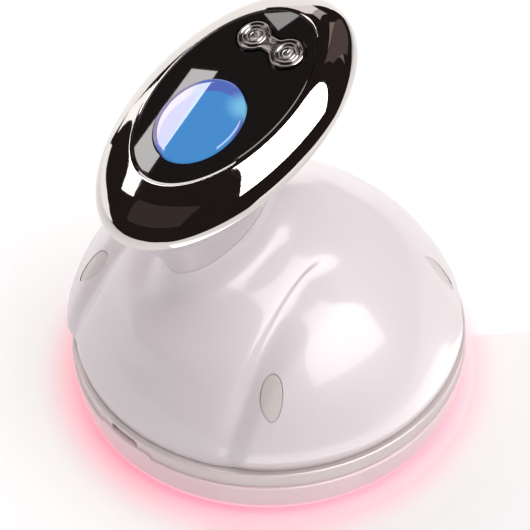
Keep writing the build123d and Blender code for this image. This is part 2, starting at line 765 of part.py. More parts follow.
with BuildPart() as grip_core:
    for share in grip_shares:
        half_width, half_length, centre = grip_oval(share, shell_wall)
        with BuildSketch(head_plane(grip_height * share)):
            with Locations((0, centre)):
                Ellipse(half_width, half_length)
    loft()

spigot_half_width = neck_half_width - shell_wall - 2 * fit_gap
spigot_half_length = neck_half_length - shell_wall - 2 * fit_gap
with BuildPart() as spigot:
    with BuildSketch(head_plane(-spigot_depth)):
        Ellipse(spigot_half_width, spigot_half_length)
        Ellipse(spigot_half_width - spigot_wall, spigot_half_length - spigot_wall, mode=Mode.SUBTRACT)
    extrude(amount=spigot_depth + spigot_flange)
    with BuildSketch(head_plane(-spigot_depth)):
        with GridLocations(0, 2 * neck_screw_offset, 1, 2):
            Circle(neck_boss_radius)
            Rectangle(2 * spigot_half_width, neck_rib)
        Ellipse(spigot_half_width, spigot_half_length, mode=Mode.INTERSECT)
    extrude(amount=spigot_depth + neck_boss_height)
    with BuildSketch(head_plane(fit_gap)):
        Ellipse(neck_half_width - shell_wall / 2, neck_half_length - shell_wall / 2)
        Ellipse(spigot_half_width - spigot_wall, spigot_half_length - spigot_wall, mode=Mode.SUBTRACT)
    extrude(amount=spigot_flange - fit_gap)
    with BuildSketch(head_plane(-spigot_depth)):
        with GridLocations(0, 2 * neck_screw_offset, 1, 2):
            Circle(neck_screw_radius + thread_gap)
    extrude(amount=neck_screw_length, mode=Mode.SUBTRACT)

head_board_under = head_board_depth + board_thickness
with BuildPart() as board_bosses:
    with BuildSketch(panel_plane(head_board_under)):
        with GridLocations(2 * head_screw_x, 2 * head_screw_y, 2, 2):
            Circle(head_boss_radius)
    extrude(amount=-grip_height)
    add(grip_form.part, mode=Mode.INTERSECT)

with BuildPart() as grip_shell:
    add(grip_form.part)
    add(grip_core.part, mode=Mode.SUBTRACT)
    add(spigot.part)
    add(board_bosses.part)
    with BuildSketch(panel_plane(head_board_under)):
        with GridLocations(2 * head_screw_x, 2 * head_screw_y, 2, 2):
            Circle(small_screw_radius + thread_gap)
    extrude(amount=-(small_screw_length - board_thickness + pilot_spare), mode=Mode.SUBTRACT)
grip_shell.part.label = "grip_shell"
export_step(grip_shell.part, "parts/grip_shell.step")

neck_screw = make_screw(screw_head_radius * 0.85, screw_head_height, neck_screw_radius, neck_screw_length)
with BuildPart(head_plane(-neck_web_depth - neck_web)) as neck_screws:
    with GridLocations(0, 2 * neck_screw_offset, 1, 2):
        add(neck_screw.rotate(Axis.X, 180))
neck_screws.part.label = "neck_screws"
export_step(neck_screws.part, "parts/neck_screws.step")

# Chrome bezel: a quarter round from the panel out to the rim of the head, hollow below
bezel_angles = [pi / 2 * share for share in (0, 0.16, 0.32, 0.48, 0.64, 0.82, 1)]
cavity_height = bezel_height - panel_thickness - ledge_height
with BuildPart() as chrome_bezel:
    for angle in bezel_angles:
        half_width, half_length, centre = bezel_oval(angle, 0)
        with BuildSketch(head_plane(grip_height + bezel_height * cos(angle))):
            with Locations((0, centre)):
                Ellipse(half_width, half_length)
    loft()
    for angle in bezel_angles:
        half_width, half_length, centre = bezel_oval(angle, bezel_wall)
        with BuildSketch(head_plane(grip_height + cavity_height * cos(angle))):
            with Locations((0, centre)):
                Ellipse(half_width, half_length)
    loft(mode=Mode.SUBTRACT)
    with BuildSketch(panel_plane(panel_thickness)):
        Ellipse(panel_half_width - ledge_width, panel_half_length - ledge_width)
    extrude(amount=-2 * ledge_height, mode=Mode.SUBTRACT)
    with BuildSketch(panel_plane(panel_thickness)):
        Ellipse(panel_half_width - panel_gap, panel_half_length - panel_gap)
    extrude(amount=2 * panel_thickness, mode=Mode.SUBTRACT)
chrome_bezel.part.label = "chrome_bezel"
export_step(chrome_bezel.part, "parts/chrome_bezel.step")


def figure_eight(end_radius, waist):
    """Two round ends joined by a waist, with the corners of the waist rounded"""
    with BuildSketch() as outline:
        with GridLocations(button_spacing, 0, 2, 1):
            Circle(end_radius)
        Rectangle(button_spacing, waist)
        inner = outline.vertices().filter_by(lambda v: abs(v.X) < button_spacing / 2 - 0.1)
        fillet(inner, radius=end_radius * 0.35)
    return outline.sketch


# Display panel with the lens window and the figure-eight recess for the buttons
with BuildPart() as display_panel:
    with BuildSketch(panel_plane(panel_thickness)):
        Ellipse(panel_half_width - 2 * panel_gap, panel_half_length - 2 * panel_gap)
        with Locations((0, lens_offset)):
            Ellipse(lens_half_width + panel_gap, lens_half_length + panel_gap, mode=Mode.SUBTRACT)
        with Locations((-button_spacing / 2, button_offset), (button_spacing / 2, button_offset)):
            Circle(button_radius + button_gap, mode=Mode.SUBTRACT)
    extrude(amount=panel_thickness)
    with BuildSketch(panel_plane(0)):
        with Locations((0, button_offset)):
            add(figure_eight(frame_radius + recess_margin, frame_waist + 2 * recess_margin))
    extrude(amount=-frame_recess, mode=Mode.SUBTRACT)
    top_rim = display_panel.faces().sort_by(lambda f: panel_plane(0).to_local_coords(f.center()).Z)[-1]
    chamfer(top_rim.outer_wire().edges(), length=panel_edge)
display_panel.part.label = "display_panel"
export_step(display_panel.part, "parts/display_panel.step")

# Lens: a shallow oval dome whose flange sits under the panel, with a diffuser below it
lens_edge = 2 * panel_gap
lens_under = panel_thickness + lens_flange_height
with BuildPart() as lens_form:
    with BuildSketch(Plane.XZ):
        with BuildLine():
            Polyline(
                (lens_half_length, -lens_edge), (lens_half_length, -panel_thickness),
                (lens_half_length + lens_flange, -panel_thickness), (lens_half_length + lens_flange, -lens_under),
                (0, -lens_under), (0, lens_crown - lens_edge))
            TangentArc((0, lens_crown - lens_edge), (lens_half_length, -lens_edge), tangent=(1, 0))
        make_face()
    revolve(axis=Axis.Z)
    scale(by=(lens_half_width / lens_half_length, 1, 1))
with BuildPart(panel_plane(0)) as status_lens:
    with Locations((0, lens_offset)):
        add(lens_form.part)
status_lens.part.label = "status_lens"
export_step(status_lens.part, "parts/status_lens.step")

with BuildPart() as lens_diffuser:
    with BuildSketch(panel_plane(lens_under)):
        with Locations((0, lens_offset)):
            Ellipse(lens_half_width - lens_flange / 2, lens_half_length - lens_flange / 2)
    extrude(amount=-diffuser_thickness)
lens_diffuser.part.label = "lens_diffuser"
export_step(lens_diffuser.part, "parts/lens_diffuser.step")

# Chrome frame round the two buttons
with BuildPart() as button_frame:
    with BuildSketch(panel_plane(frame_recess)):
        with Locations((0, button_offset)):
            add(figure_eight(frame_radius, frame_waist))
        with Locations((-button_spacing / 2, button_offset), (button_spacing / 2, button_offset)):
            Circle(button_radius + button_gap, mode=Mode.SUBTRACT)
    extrude(amount=frame_recess + frame_proud)
    top_face = button_frame.faces().sort_by(lambda f: panel_plane(0).to_local_coords(f.center()).Z)[-1]
    chamfer(top_face.outer_wire().edges(), length=frame_edge)
button_frame.part.label = "button_frame"
export_step(button_frame.part, "parts/button_frame.step")

# Buttons: round caps with a raised ring, a flange that keeps them in and a stem onto the switch
flange_top = panel_thickness + button_rest
switch_top = head_board_depth - switch_height
plunger_top = switch_top - plunger_proud
with BuildPart() as button_form:
    with BuildSketch(Plane.XZ):
        with BuildLine():
            ring_in = button_radius - button_ring
            dish = button_proud - button_dish
            Polyline(
                (0, dish), (ring_in - button_slope, dish), (ring_in, button_proud),
                (button_radius - button_edge, button_proud), (button_radius, button_proud - button_edge),
                (button_radius, -flange_top),
                (button_radius + button_flange, -flange_top),
                (button_radius + button_flange, -flange_top - button_flange_height),
                (stem_radius, -flange_top - button_flange_height), (stem_radius, -plunger_top),
                (0, -plunger_top), close=True)
        make_face()
    revolve(axis=Axis.Z)

with BuildPart(panel_plane(0)) as mode_button_cap:
    with Locations((-button_spacing / 2, button_offset)):
        add(button_form.part)
mode_button_cap.part.label = "mode_button_cap"
export_step(mode_button_cap.part, "parts/mode_button_cap.step")

with BuildPart(panel_plane(0)) as power_button_cap:
    with Locations((button_spacing / 2, button_offset)):
        add(button_form.part)
power_button_cap.part.label = "power_button_cap"
export_step(power_button_cap.part, "parts/power_button_cap.step")

with BuildPart() as mode_switch_plunger:
    with BuildSketch(panel_plane(plunger_top)):
        with Locations((-button_spacing / 2, button_offset)):
            Circle(plunger_radius)
    extrude(amount=-(plunger_proud + plunger_hidden))
mode_switch_plunger.part.label = "mode_switch_plunger"
export_step(mode_switch_plunger.part, "parts/mode_switch_plunger.step")

with BuildPart() as power_switch_plunger:
    with BuildSketch(panel_plane(plunger_top)):
        with Locations((button_spacing / 2, button_offset)):
            Circle(plunger_radius)
    extrude(amount=-(plunger_proud + plunger_hidden))
power_switch_plunger.part.label = "power_switch_plunger"
export_step(power_switch_plunger.part, "parts/power_switch_plunger.step")

with BuildPart() as switch_bodies:
    with BuildSketch(panel_plane(head_board_depth)):
        with Locations((-button_spacing / 2, button_offset), (button_spacing / 2, button_offset)):
            RectangleRounded(switch_size, switch_size, switch_corner)
    extrude(amount=switch_height)
    with BuildSketch(panel_plane(switch_top)):
        with Locations((-button_spacing / 2, button_offset), (button_spacing / 2, button_offset)):
            Circle(plunger_radius + plunger_gap)
    extrude(amount=-(plunger_hidden + button_travel + fit_gap), mode=Mode.SUBTRACT)
switch_bodies.part.label = "switch_bodies"
export_step(switch_bodies.part, "parts/switch_bodies.step")

# Head board with the lights under the lens, screwed to the bosses of the grip
with BuildPart() as head_board:
    with BuildSketch(panel_plane(head_board_under)):
        Ellipse(panel_half_width - head_board_margin, panel_half_length - head_board_margin)
        with GridLocations(2 * head_screw_x, 2 * head_screw_y, 2, 2):
            Circle(small_screw_radius + screw_clearance / 2, mode=Mode.SUBTRACT)
    extrude(amount=board_thickness)
head_board.part.label = "head_board"
export_step(head_board.part, "parts/head_board.step")

with BuildPart() as head_leds:
    with BuildSketch(panel_plane(head_board_depth)):
        with Locations((0, lens_offset)):
            with PolarLocations(head_led_circle, head_led_count, start_angle=90):
                RectangleRounded(led_size, led_size, led_size / 8)
    extrude(amount=led_height)
head_leds.part.label = "head_leds"
export_step(head_leds.part, "parts/head_leds.step")

with BuildPart(panel_plane(head_board_depth)) as head_screws:
    with GridLocations(2 * head_screw_x, 2 * head_screw_y, 2, 2):
        add(small_screw)
head_screws.part.label = "head_screws"
export_step(head_screws.part, "parts/head_screws.step")

# Ribbon from the main board up through the neck to the underside of the head board
collar_centre = head_plane(0).origin
board_end = head_plane(grip_height + bezel_height - head_board_under).origin
climb = (collar_centre.Y - cable_start) / sin(radians(head_tilt))
with BuildPart() as head_cable:
    with BuildSketch(Plane.YZ):
        with BuildLine():
            FilletPolyline(
                (cable_start, main_board_top),
                (cable_start, collar_centre.Z + climb * cos(radians(head_tilt))),
                (board_end.Y, board_end.Z), radius=cable_bend)
        trace(line_width=cable_thickness)
    extrude(amount=cable_width / 2, both=True)
head_cable.part.label = "head_cable"
export_step(head_cable.part, "parts/head_cable.step")
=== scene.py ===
"""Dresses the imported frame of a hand-held radio frequency slimming device with fine surfaces, finishes and
a studio."""

import bpy
import numpy as np
from mathutils import Matrix, Vector


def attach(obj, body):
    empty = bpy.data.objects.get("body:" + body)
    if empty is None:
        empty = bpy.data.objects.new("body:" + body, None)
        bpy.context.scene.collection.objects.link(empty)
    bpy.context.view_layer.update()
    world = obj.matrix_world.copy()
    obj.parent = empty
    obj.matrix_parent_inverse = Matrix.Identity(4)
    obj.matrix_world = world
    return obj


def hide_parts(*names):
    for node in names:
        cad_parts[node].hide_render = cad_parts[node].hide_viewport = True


bl_info = {
    "name": "Slimming Device Dressing",
    "version": (1, 0, 0),
    "blender": (4, 5, 0),
    "location": "3D Viewport > Sidebar > Device",
    "description": "Builds the fine surfaces, finishes and studio of a hand-held slimming device",
    "category": "Object",
}

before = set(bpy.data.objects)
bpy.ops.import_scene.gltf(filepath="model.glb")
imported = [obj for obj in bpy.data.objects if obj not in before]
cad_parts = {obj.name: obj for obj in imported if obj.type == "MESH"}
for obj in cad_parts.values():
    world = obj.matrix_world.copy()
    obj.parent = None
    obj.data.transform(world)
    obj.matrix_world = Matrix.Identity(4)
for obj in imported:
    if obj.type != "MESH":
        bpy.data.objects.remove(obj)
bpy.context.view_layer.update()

HOUSING = "housing"
MODE_BODY = "mode_button"
POWER_BODY = "power_button"

WARM_WHITE = (1.0, 0.985, 0.97)
PALE_PINK = (1.0, 0.93, 0.92)
CARD_BROWN = (1.0, 0.76, 0.70)
# The floor's pink is painted light: the red glow of the base and its shade, multiplied into the floor's
# colour
FLOOR_PAINTED_GLOW = (0.96, 0.61, 0.68)

# Points in a ring of each piece, and rings up the dome
AROUND_DOME = 300
UP_DOME = 190
AROUND_GRIP = 256
AROUND_PANEL = 320
AROUND_LENS = 192
AROUND_BUTTON = 128
AROUND_BASE = 360

# The dome's rings stand closer at the collar by this share, its foot takes the place of the first rings, and
# its inner wall has every sixth ring
CROWDING = 0.35
FOOT_RINGS = 4
WALL_STEP = 6

# Heights between which a hole in the panel is cut, depths of the slot's cutter from the outside, and the
# half height of a mask that is as good as flat
HOLE = (-0.003, 0.002)
SLOT = (-0.004, 0.006)
FLAT = 1000.0

# The camera of the photograph, found from the ovals of band, bezel, panel and lens
CAMERA_BACK = (0.487329, -0.492172, 0.721303)
CAMERA_ROLL = -1.246
CAMERA_PLACE = (0.18101, -0.18281, 0.29578)
CAMERA_SHIFT = (-0.00583, 0.04289)


def length(name, default, description):
    """A length in metres that a user may change"""
    return bpy.props.FloatProperty(
        name=name, default=default, description=description, unit="LENGTH", precision=5)


def number(name, default, description):
    """A plain number that a user may change"""
    return bpy.props.FloatProperty(name=name, default=default, description=description)


def colour(name, default, description):
    """A colour that a user may change"""
    return bpy.props.FloatVectorProperty(
        name=name, default=default, description=description, subtype="COLOR", size=3, min=0, max=1)


class DEVICE_PG_dome(bpy.types.PropertyGroup):
    """Sizes of the dome, its neck and its plugs"""

    base_radius: length("Base radius", 0.055, "Outside of the trim band")
    rim_height: length("Rim height", 0.0163, "Rim of the dome above the rest plane")
    rim_inset: length("Rim inset", 0.00135, "How far the rim stands in from the band")
    rim_round: length("Rim rounding", 0.0005, "Rounding of the lower edge of the dome")
    wall: length("Wall", 0.0022, "Moulded wall")
    cap_rise: length("Cap rise", 0.0444, "From the rim to the top of the sphere")
    shoulder_height: length("Shoulder height", 0.0057, "The sphere is widest this far above the rim")
    shoulder_inset: length("Shoulder inset", 0.0007, "Radius lost there against the base")
    shoulder_soft: length("Shoulder soft", 0.0008, "Rounding between the sphere and the wall below")
    blend_power: number("Blend power", 6.0, "Sharpness of the blend from sphere to neck")
    ghost_bottom: length("Neck starts", 0.0097, "Height above the rim where the neck starts to show")
    ghost_top: length("Neck shows in full", 0.0297, "Height above the rim where the neck shows in full")
    head_tilt: bpy.props.FloatProperty(
        name="Head tilt", default=0.3403392, description="Tilt of collar and head", subtype="ANGLE",
        unit="ROTATION")
    neck_front: length("Neck front", 0.0337, "Front of the collar from the axis")
    collar_drop: length("Collar drop", 0.001, "Front of the collar below the top of the sphere")
    neck_half_width: length("Neck half width", 0.0090, "Collar across")
    neck_half_length: length("Neck half length", 0.0175, "Collar along the slope")
    neck_flare: length("Neck flare", 0.004, "Widening of the neck on its way down")
    neck_flare_fall: length("Flare fall", 0.005, "Height over which the flare grows")
    flare_front: number("Flare in front", 0.6, "Share of the flare at the front of the neck")
    spine_reach: length("Spine reach", 0.0184, "The back of the neck runs out this much")
    spine_fall: length("Spine fall", 0.014, "Height over which it does")
    valley_depth: length("Valley depth", 0.0017, "Valleys from the front plugs to the neck")
    valley_width: length("Valley width", 0.003, "Half width of a valley")
    valley_offset: length("Valley offset", 0.0255, "From the middle plane, beside the neck")
    valley_splay: length("Valley splay", 0.0035, "Further out at its front end")
    valley_start: length("Valley start", -0.004, "The valleys run from here, in front of the axis")
    valley_end: length("Valley end", 0.048, "To here")
    valley_fade: length("Valley fade", 0.012, "Length over which their ends fade")
    cheek_rise: length("Cheek rise", 0.0018, "The cheeks stand above the dome outside the valleys")
    cheek_rear: number("Cheek rear", 0.35, "Share of the rise that is left at the rear")
    cheek_turn: length("Cheek turn", 0.018, "The rise changes over this far to each side of the axis")
    cheek_edge: length("Cheek edge", 0.004, "Width of their edge along a valley")
    cheek_soft: length("Cheek soft edge", 0.016, "Extra width of that edge beside the neck")
    cheek_back: length("Cheek back", 0.0325, "Middle of their rear edge behind the axis")
    cheek_fade: length("Cheek fade", 0.0035, "Half width of the rear edge")
    cheek_low: length("Cheek low", 0.0, "Their lower edge starts above the rim")
    cheek_full: length("Cheek full", 0.0065, "Height above the rim where they stand in full")
    rear_sink: length("Rear sink", 0.0022, "The rear of the dome lies this far inside the sphere")
    rear_start: length("Rear start", 0.005, "From this far in front of the axis")
    rear_full: length("Rear full", 0.025, "In full this far behind it")
    rear_height: length("Rear height", 0.016, "And this far above the rim")
    plug_circle: length("Plug circle", 0.0469, "Distance of the plugs from the axis")
    plug_half_width: length("Plug half width", 0.0029, "Plug holes, across")
    plug_half_length: length("Plug half length", 0.0042, "Plug holes, towards the axis")
    plug_gap: length("Plug gap", 0.00006, "Clearance round a plug")
    plug_recess: length("Plug recess", 0.00035, "Plugs below the dome")
    plug_seat: length("Plug seat", 0.010, "Bottom of a plug above the rim")
    plug_under: length("Plug under", 0.004, "The plug holes start this far under a plug")


class DEVICE_PG_base(bpy.types.PropertyGroup):
    """Sizes of the band, the lower shell, the port and the treatment face"""

    underside: length("Underside", 0.0018, "Lower shell above the rest plane")
    seam: length("Seam", 0.0114, "Seam between lower shell and band")
    bulge: length("Bulge", 0.0007, "Lower shell past the band")
    corner: length("Corner", 0.003, "Rounding round the underside")
    wall: length("Wall", 0.0022, "Wall of the lower shell")
    band_edge: length("Band edge", 0.0005, "Rounding of the band's edges")
    band_wall: length("Band wall", 0.0016, "Upright wall of the band")
    tab_half: length("Tab half width", 0.0093, "Raised tab under the slot")
    tab_rise: length("Tab rise", 0.0011, "Height of the tab")
    tab_soft: length("Tab soft end", 0.00015, "Half width of the step at its ends")
    tab_fade: length("Tab fade", 0.0015, "Height over which band and shell take up its rise")
    seam_gap: length("Seam gap", 0.00005, "Gap between band and lower shell")
    seam_edge: length("Seam edge", 0.0004, "Rounding of the lower shell at the seam")
    inner_corner: length("Inner corner", 0.001, "Rounding inside the lower shell")
    slot_width: length("Slot width", 0.0097, "Opening of the charging port")
    slot_height: length("Slot height", 0.0028, "Opening of the charging port")
    slot_centre: length("Slot centre", 0.01385, "Height of the slot's centre")
    probe_radius: length("Probe radius", 0.022, "Steel treatment probe")
    probe_gap: length("Probe gap", 0.0002, "Clearance round the probe")
    probe_edge: length("Probe edge", 0.0003, "Rounding of the hole round the probe")
    glow_full: length("Glow in full", 0.0019, "The red glow is full below this height")
    glow_end: length("Glow end", 0.0048, "And gone above this one")


class DEVICE_PG_head(bpy.types.PropertyGroup):
    """Sizes of the grip, the bezel, the panel, the lens and the buttons"""

    grip_height: length("Grip height", 0.0251, "Collar to bezel along the tilted axis")
    grip_reach: length("Grip reach", 0.0141, "Head centre up the slope from the neck's")
    grip_flare: number("Grip flare", 1.7, "Power of the flare from neck to head")
    grip_wall: length("Grip wall", 0.0022, "Moulded wall at the neck")
    grip_thicken: number("Grip thicken", 1.1, "Share by which the wall looks thicker across, at the head")
    head_half_width: length("Head half width", 0.0241, "Rim of the bezel across")
    head_half_length: length("Head half length", 0.0390, "Rim of the bezel along the slope")
    bezel_height: length("Bezel height", 0.0081, "Rim to panel")
    bezel_roll: length("Bezel roll", 0.0008, "The bezel rolls in under its rim")
    bezel_wall: length("Bezel wall", 0.0018, "Plated wall")
    bezel_seat: length("Bezel seat", 0.0003, "Room under the panel")
    panel_shift: length("Panel shift", 0.0023, "Panel centre up the slope from the head's")
    panel_half_width: length("Panel half width", 0.0170, "Panel across")
    panel_half_length: length("Panel half length", 0.0270, "Panel along the slope")
    panel_gap: length("Panel gap", 0.0002, "Gap round the panel")
    panel_thickness: length("Panel thickness", 0.0016, "Panel")
    panel_edge: length("Panel edge", 0.00035, "Rounded edge of the panel")
    lens_offset: length("Lens offset", -0.0089, "Lens from the panel's centre")
    lens_half_width: length("Lens half width", 0.0104, "Lens across")
    lens_half_length: length("Lens half length", 0.0122, "Lens along the slope")
    lens_crown: length("Lens crown", 0.0008, "Rise of the lens above the panel")
    lens_dome: length("Lens dome", 0.00001, "Rise of its top")
    lens_edge: length("Lens edge", 0.0006, "Its rounded edge")
    lens_gap: length("Lens gap", 0.0003, "Dark gap round the lens")
    button_offset: length("Button offset", 0.01635, "Buttons from the panel's centre")
    button_half_spacing: length("Button half spacing", 0.0052, "Buttons from the middle plane")
    button_radius: length("Button radius", 0.0031, "Button caps")
    button_gap: length("Button gap", 0.00012, "Gap round a cap")
    button_proud: length("Button proud", 0.00035, "Caps above the panel")
    button_depth: length("Button depth", 0.0015, "Caps below the panel")
    icon_radius: length("Icon radius", 0.0010, "Rings of the signs on the caps")
    icon_half: length("Icon half width", 0.00011, "Bars of the signs")
    icon_rise: length("Icon rise", 0.00009, "Height of the bars")
    icon_sink: length("Icon sink", 0.00016, "Foot of the bars below the rim of the cap")
    frame_radius: length("Frame radius", 0.00425, "Round ends of the frame")
    frame_waist: length("Frame waist", 0.0042, "Waist of the frame")
    frame_bend: number("Frame bend", 0.35, "Radius of the bends at its waist, as a share of the round ends")
    frame_proud: length("Frame proud", 0.00025, "Frame above the panel")
    frame_recess: length("Frame recess", 0.0009, "Recess under the frame")
    recess_margin: length("Recess margin", 0.0006, "Recess round the frame")


class DEVICE_PG_finishes(bpy.types.PropertyGroup):
    """Colours of the finishes"""

    pearl: colour("Pearl plastic", (0.62, 0.555, 0.58), "Dome and grip")
    plug: colour("Plugs", (0.54, 0.49, 0.48), "Screw plugs")
    band: colour("Band", (0.64, 0.56, 0.555), "Trim band")
    milky: colour("Lower shell", (0.72, 0.56, 0.60), "Translucent lower shell")
    glow: colour("Glow", (1.0, 0.16, 0.22), "Red light through the lower shell")
    glow_faint: colour("Faint glow", (0.008, 0.002, 0.003), "What is left of it higher up")
    glow_strength: number("Glow strength", 3.0, "Brightness of the glow")
    chrome: colour("Chrome", (0.70, 0.665, 0.645), "Bezel and frame")
    panel: colour("Panel", (0.010, 0.008, 0.008), "Black gloss panel")
    lens: colour("Lens", (0.060, 0.265, 0.620), "Lit oval of the lens")
    lens_base: colour("Lens base", (0.01, 0.02, 0.05), "The lens without its light")
    lens_bright: colour("Lens bright", (0.200, 0.560, 0.820), "Brightest end of that oval")
    # The next three colours are partly painted reflection of a pale light in the lens, over its blue glow
    lens_oval_painted_reflection: colour("Lens pale", (0.080, 0.080, 0.380), "Left end of that oval")
    lens_surround_glow_and_painted_reflection: colour("Lens top", (0.088, 0.140, 0.480), "Above the lit oval")
    lens_side_painted_reflection: colour("Lens side", (0.330, 0.260, 0.420), "Left of the lit oval")
    smoky: colour("Smoky chrome", (0.42, 0.375, 0.36), "Button frame")
    cap: colour("Button chrome", (0.40, 0.375, 0.365), "Button caps")


class DEVICE_PG_stage(bpy.types.PropertyGroup):
    """Camera and lights"""

    focal: number("Focal length", 91.734, "Millimetres on a 36 mm sensor")
    key: number("Key light", 5.5, "Brightness of the large box overhead on the right, in what mirrors it")
    key_soft: number("Key light soft", 3.0, "Its brightness as a light")
    strip: number("Strip light", 8.0, "Brightness of the narrow strips that the panel mirrors")
    side: number("Side light", 2.0, "Brightness of the strip in front on the left")
    left: number("Left light", 1.4, "Brightness of the long box on the left")
    back: number("Back light", 1.05, "Brightness of the box behind on the left")
    screen: number("Screens", 1.2, "Brightness of the pale screens, in what mirrors them")
    screen_soft: number("Screens soft", 3.2, "Their brightness as lights")
    overhead: number("Overhead light", 2.2, "Brightness of the soft sheet overhead, which nothing mirrors")
    card: number("Cards", 1.0, "Brightness of the brown cards")
    shine: number("Floor shine", 3.5, "Brightness of the glare on the floor in front")
    # Radii of the painted pink glow and shade on the floor round the base
    painted_glow_full: length("Pink in full", 0.050, "The floor is pink inside this radius")
    painted_glow_end: length("Pink end", 0.068, "And pale outside this one")
    room: number("Room light", 0.77, "Strength of the pale surroundings")


# Shapes


def smooth(value, low, high):
    """0 below low, 1 above high, 3t^2 - 2t^3 between them"""
    t = np.clip((value - low) / (high - low), 0.0, 1.0)
    return t * t * (3 - 2 * t)


def around(count):
    """Angles of a full turn, without its end"""
    return np.linspace(0, 2 * np.pi, count, endpoint=False)


def skin(rings, start=None, end=None, loop=False):
    """Quads between neighbouring rings of points, each ring closed; start and end close it with a fan to one
    point, and loop joins the last ring to the first"""
    rows, columns, _ = rings.shape
    points = rings.reshape(-1, 3)
    row = np.arange(rows if loop else rows - 1)[:, None]
    column = np.arange(columns)[None, :]
    after = (column + 1) % columns
    below = (row + 1) % rows
    quads = np.stack([row * columns + column, row * columns + after, below * columns + after,
                      below * columns + column], axis=-1).reshape(-1, 4)
    fans = []
    one = np.arange(columns)
    two = (one + 1) % columns
    last = (rows - 1) * columns
    for middle, ends in ((start, (two, one)), (end, (one + last, two + last))):
        if middle is not None:
            points = np.vstack([points, middle])
            fans.append(np.stack([np.full(columns, len(points) - 1), *ends], axis=-1))
    return points, quads, np.vstack(fans) if fans else np.zeros((0, 3), int)


def joined(parts):
    """Several skins as one"""
    points, quads, fans, count = [], [], [], 0
    for part_points, part_quads, part_fans in parts:
        points.append(part_points)
        quads.append(part_quads + count)
        fans.append(part_fans + count)
        count += len(part_points)
    return np.vstack(points), np.vstack(quads), np.vstack(fans)


def outward(surface):
    """The same skin with its faces turned out: its signed volume, a sum of triple products, is positive"""
    points, quads, fans = surface
    triangles = np.vstack([quads[:, [0, 1, 2]], quads[:, [0, 2, 3]], fans])
    a, b, c = (points[triangles[:, k]] for k in range(3))
    if np.einsum("ij,ij->i", a, np.cross(b, c)).sum() < 0:
        quads, fans = quads[:, ::-1], fans[:, ::-1]
    return points, quads, fans


def sheet(points):
    """An open sheet inside an outline: a fan of triangles about the mean of its corners"""
    count = len(points)
    fan = np.stack([np.arange(count), (np.arange(count) + 1) % count, np.full(count, count)], axis=-1)
    return np.vstack([points, points.mean(axis=0)]), np.zeros((0, 4), int), fan


def new_mesh(name, surface, sharp=0.6):
    """A mesh object at the origin from a skin, smooth but for edges over the sharp angle"""
    points, quads, fans = surface
    mesh = bpy.data.meshes.new(name)
    mesh.from_pydata(points.tolist(), [], quads.tolist() + fans.tolist())
    piece = bpy.data.objects.new(name, mesh)
    bpy.context.scene.collection.objects.link(piece)
    shade(piece, sharp)
    return piece


def shade(piece, sharp):
    """Smooth shading, with edges over the sharp angle kept crisp"""
    mesh = piece.data
    mesh.polygons.foreach_set("use_smooth", np.ones(len(mesh.polygons), bool))
    mesh.set_sharp_from_angle(angle=sharp)
    mesh.update()


def carve(piece, cutters, sharp=0.6):
    """Cuts the cutters out of a piece and removes them"""
    for cutter in cutters:
        modifier = piece.modifiers.new("carve", "BOOLEAN")
        modifier.operation = "DIFFERENCE"
        modifier.solver = "EXACT"
        modifier.object = cutter
    bpy.context.view_layer.update()
    depsgraph = bpy.context.evaluated_depsgraph_get()
    carved = bpy.data.meshes.new_from_object(piece.evaluated_get(depsgraph))
    piece.modifiers.clear()
    piece.data, old = carved, piece.data
    bpy.data.meshes.remove(old)
    for cutter in cutters:
        bpy.data.objects.remove(cutter)
    shade(piece, sharp)


def place(piece, body, nodes, material):
    """Rides a finished piece on its body, in place of CAD nodes, with its finish"""
    piece.data.materials.clear()
    piece.data.materials.append(material)
    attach(piece, body)
    if nodes:
        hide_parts(*nodes)
    return piece


def rounded(corners, radii, steps=6):
    """A closed profile of corner points, each rounded over its own reach. A corner at p, between unit
    directions u and v to its neighbours, gets points on the quadratic curve from p + r u over p to p + r v"""
    corners = np.array(corners, float)
    before = np.roll(corners, 1, axis=0) - corners
    after = np.roll(corners, -1, axis=0) - corners
    before /= np.linalg.norm(before, axis=1, keepdims=True)
    after /= np.linalg.norm(after, axis=1, keepdims=True)
    reach = np.array(radii, float)[:, None, None]
    t = np.linspace(0, 1, steps)[None, :, None]
    path = corners[:, None, :] + reach * ((1 - t) ** 2 * before[:, None, :] + t**2 * after[:, None, :])
    path = path.reshape(-1, 2)
    fresh = np.linalg.norm(path - np.roll(path, 1, axis=0), axis=1) > 1e-7
    return path[fresh]


# Dome

# Least half axis, and least divisor that turns a depth below the surface into one along a radius
TINY = 1e-9
STEEPEST = 0.35


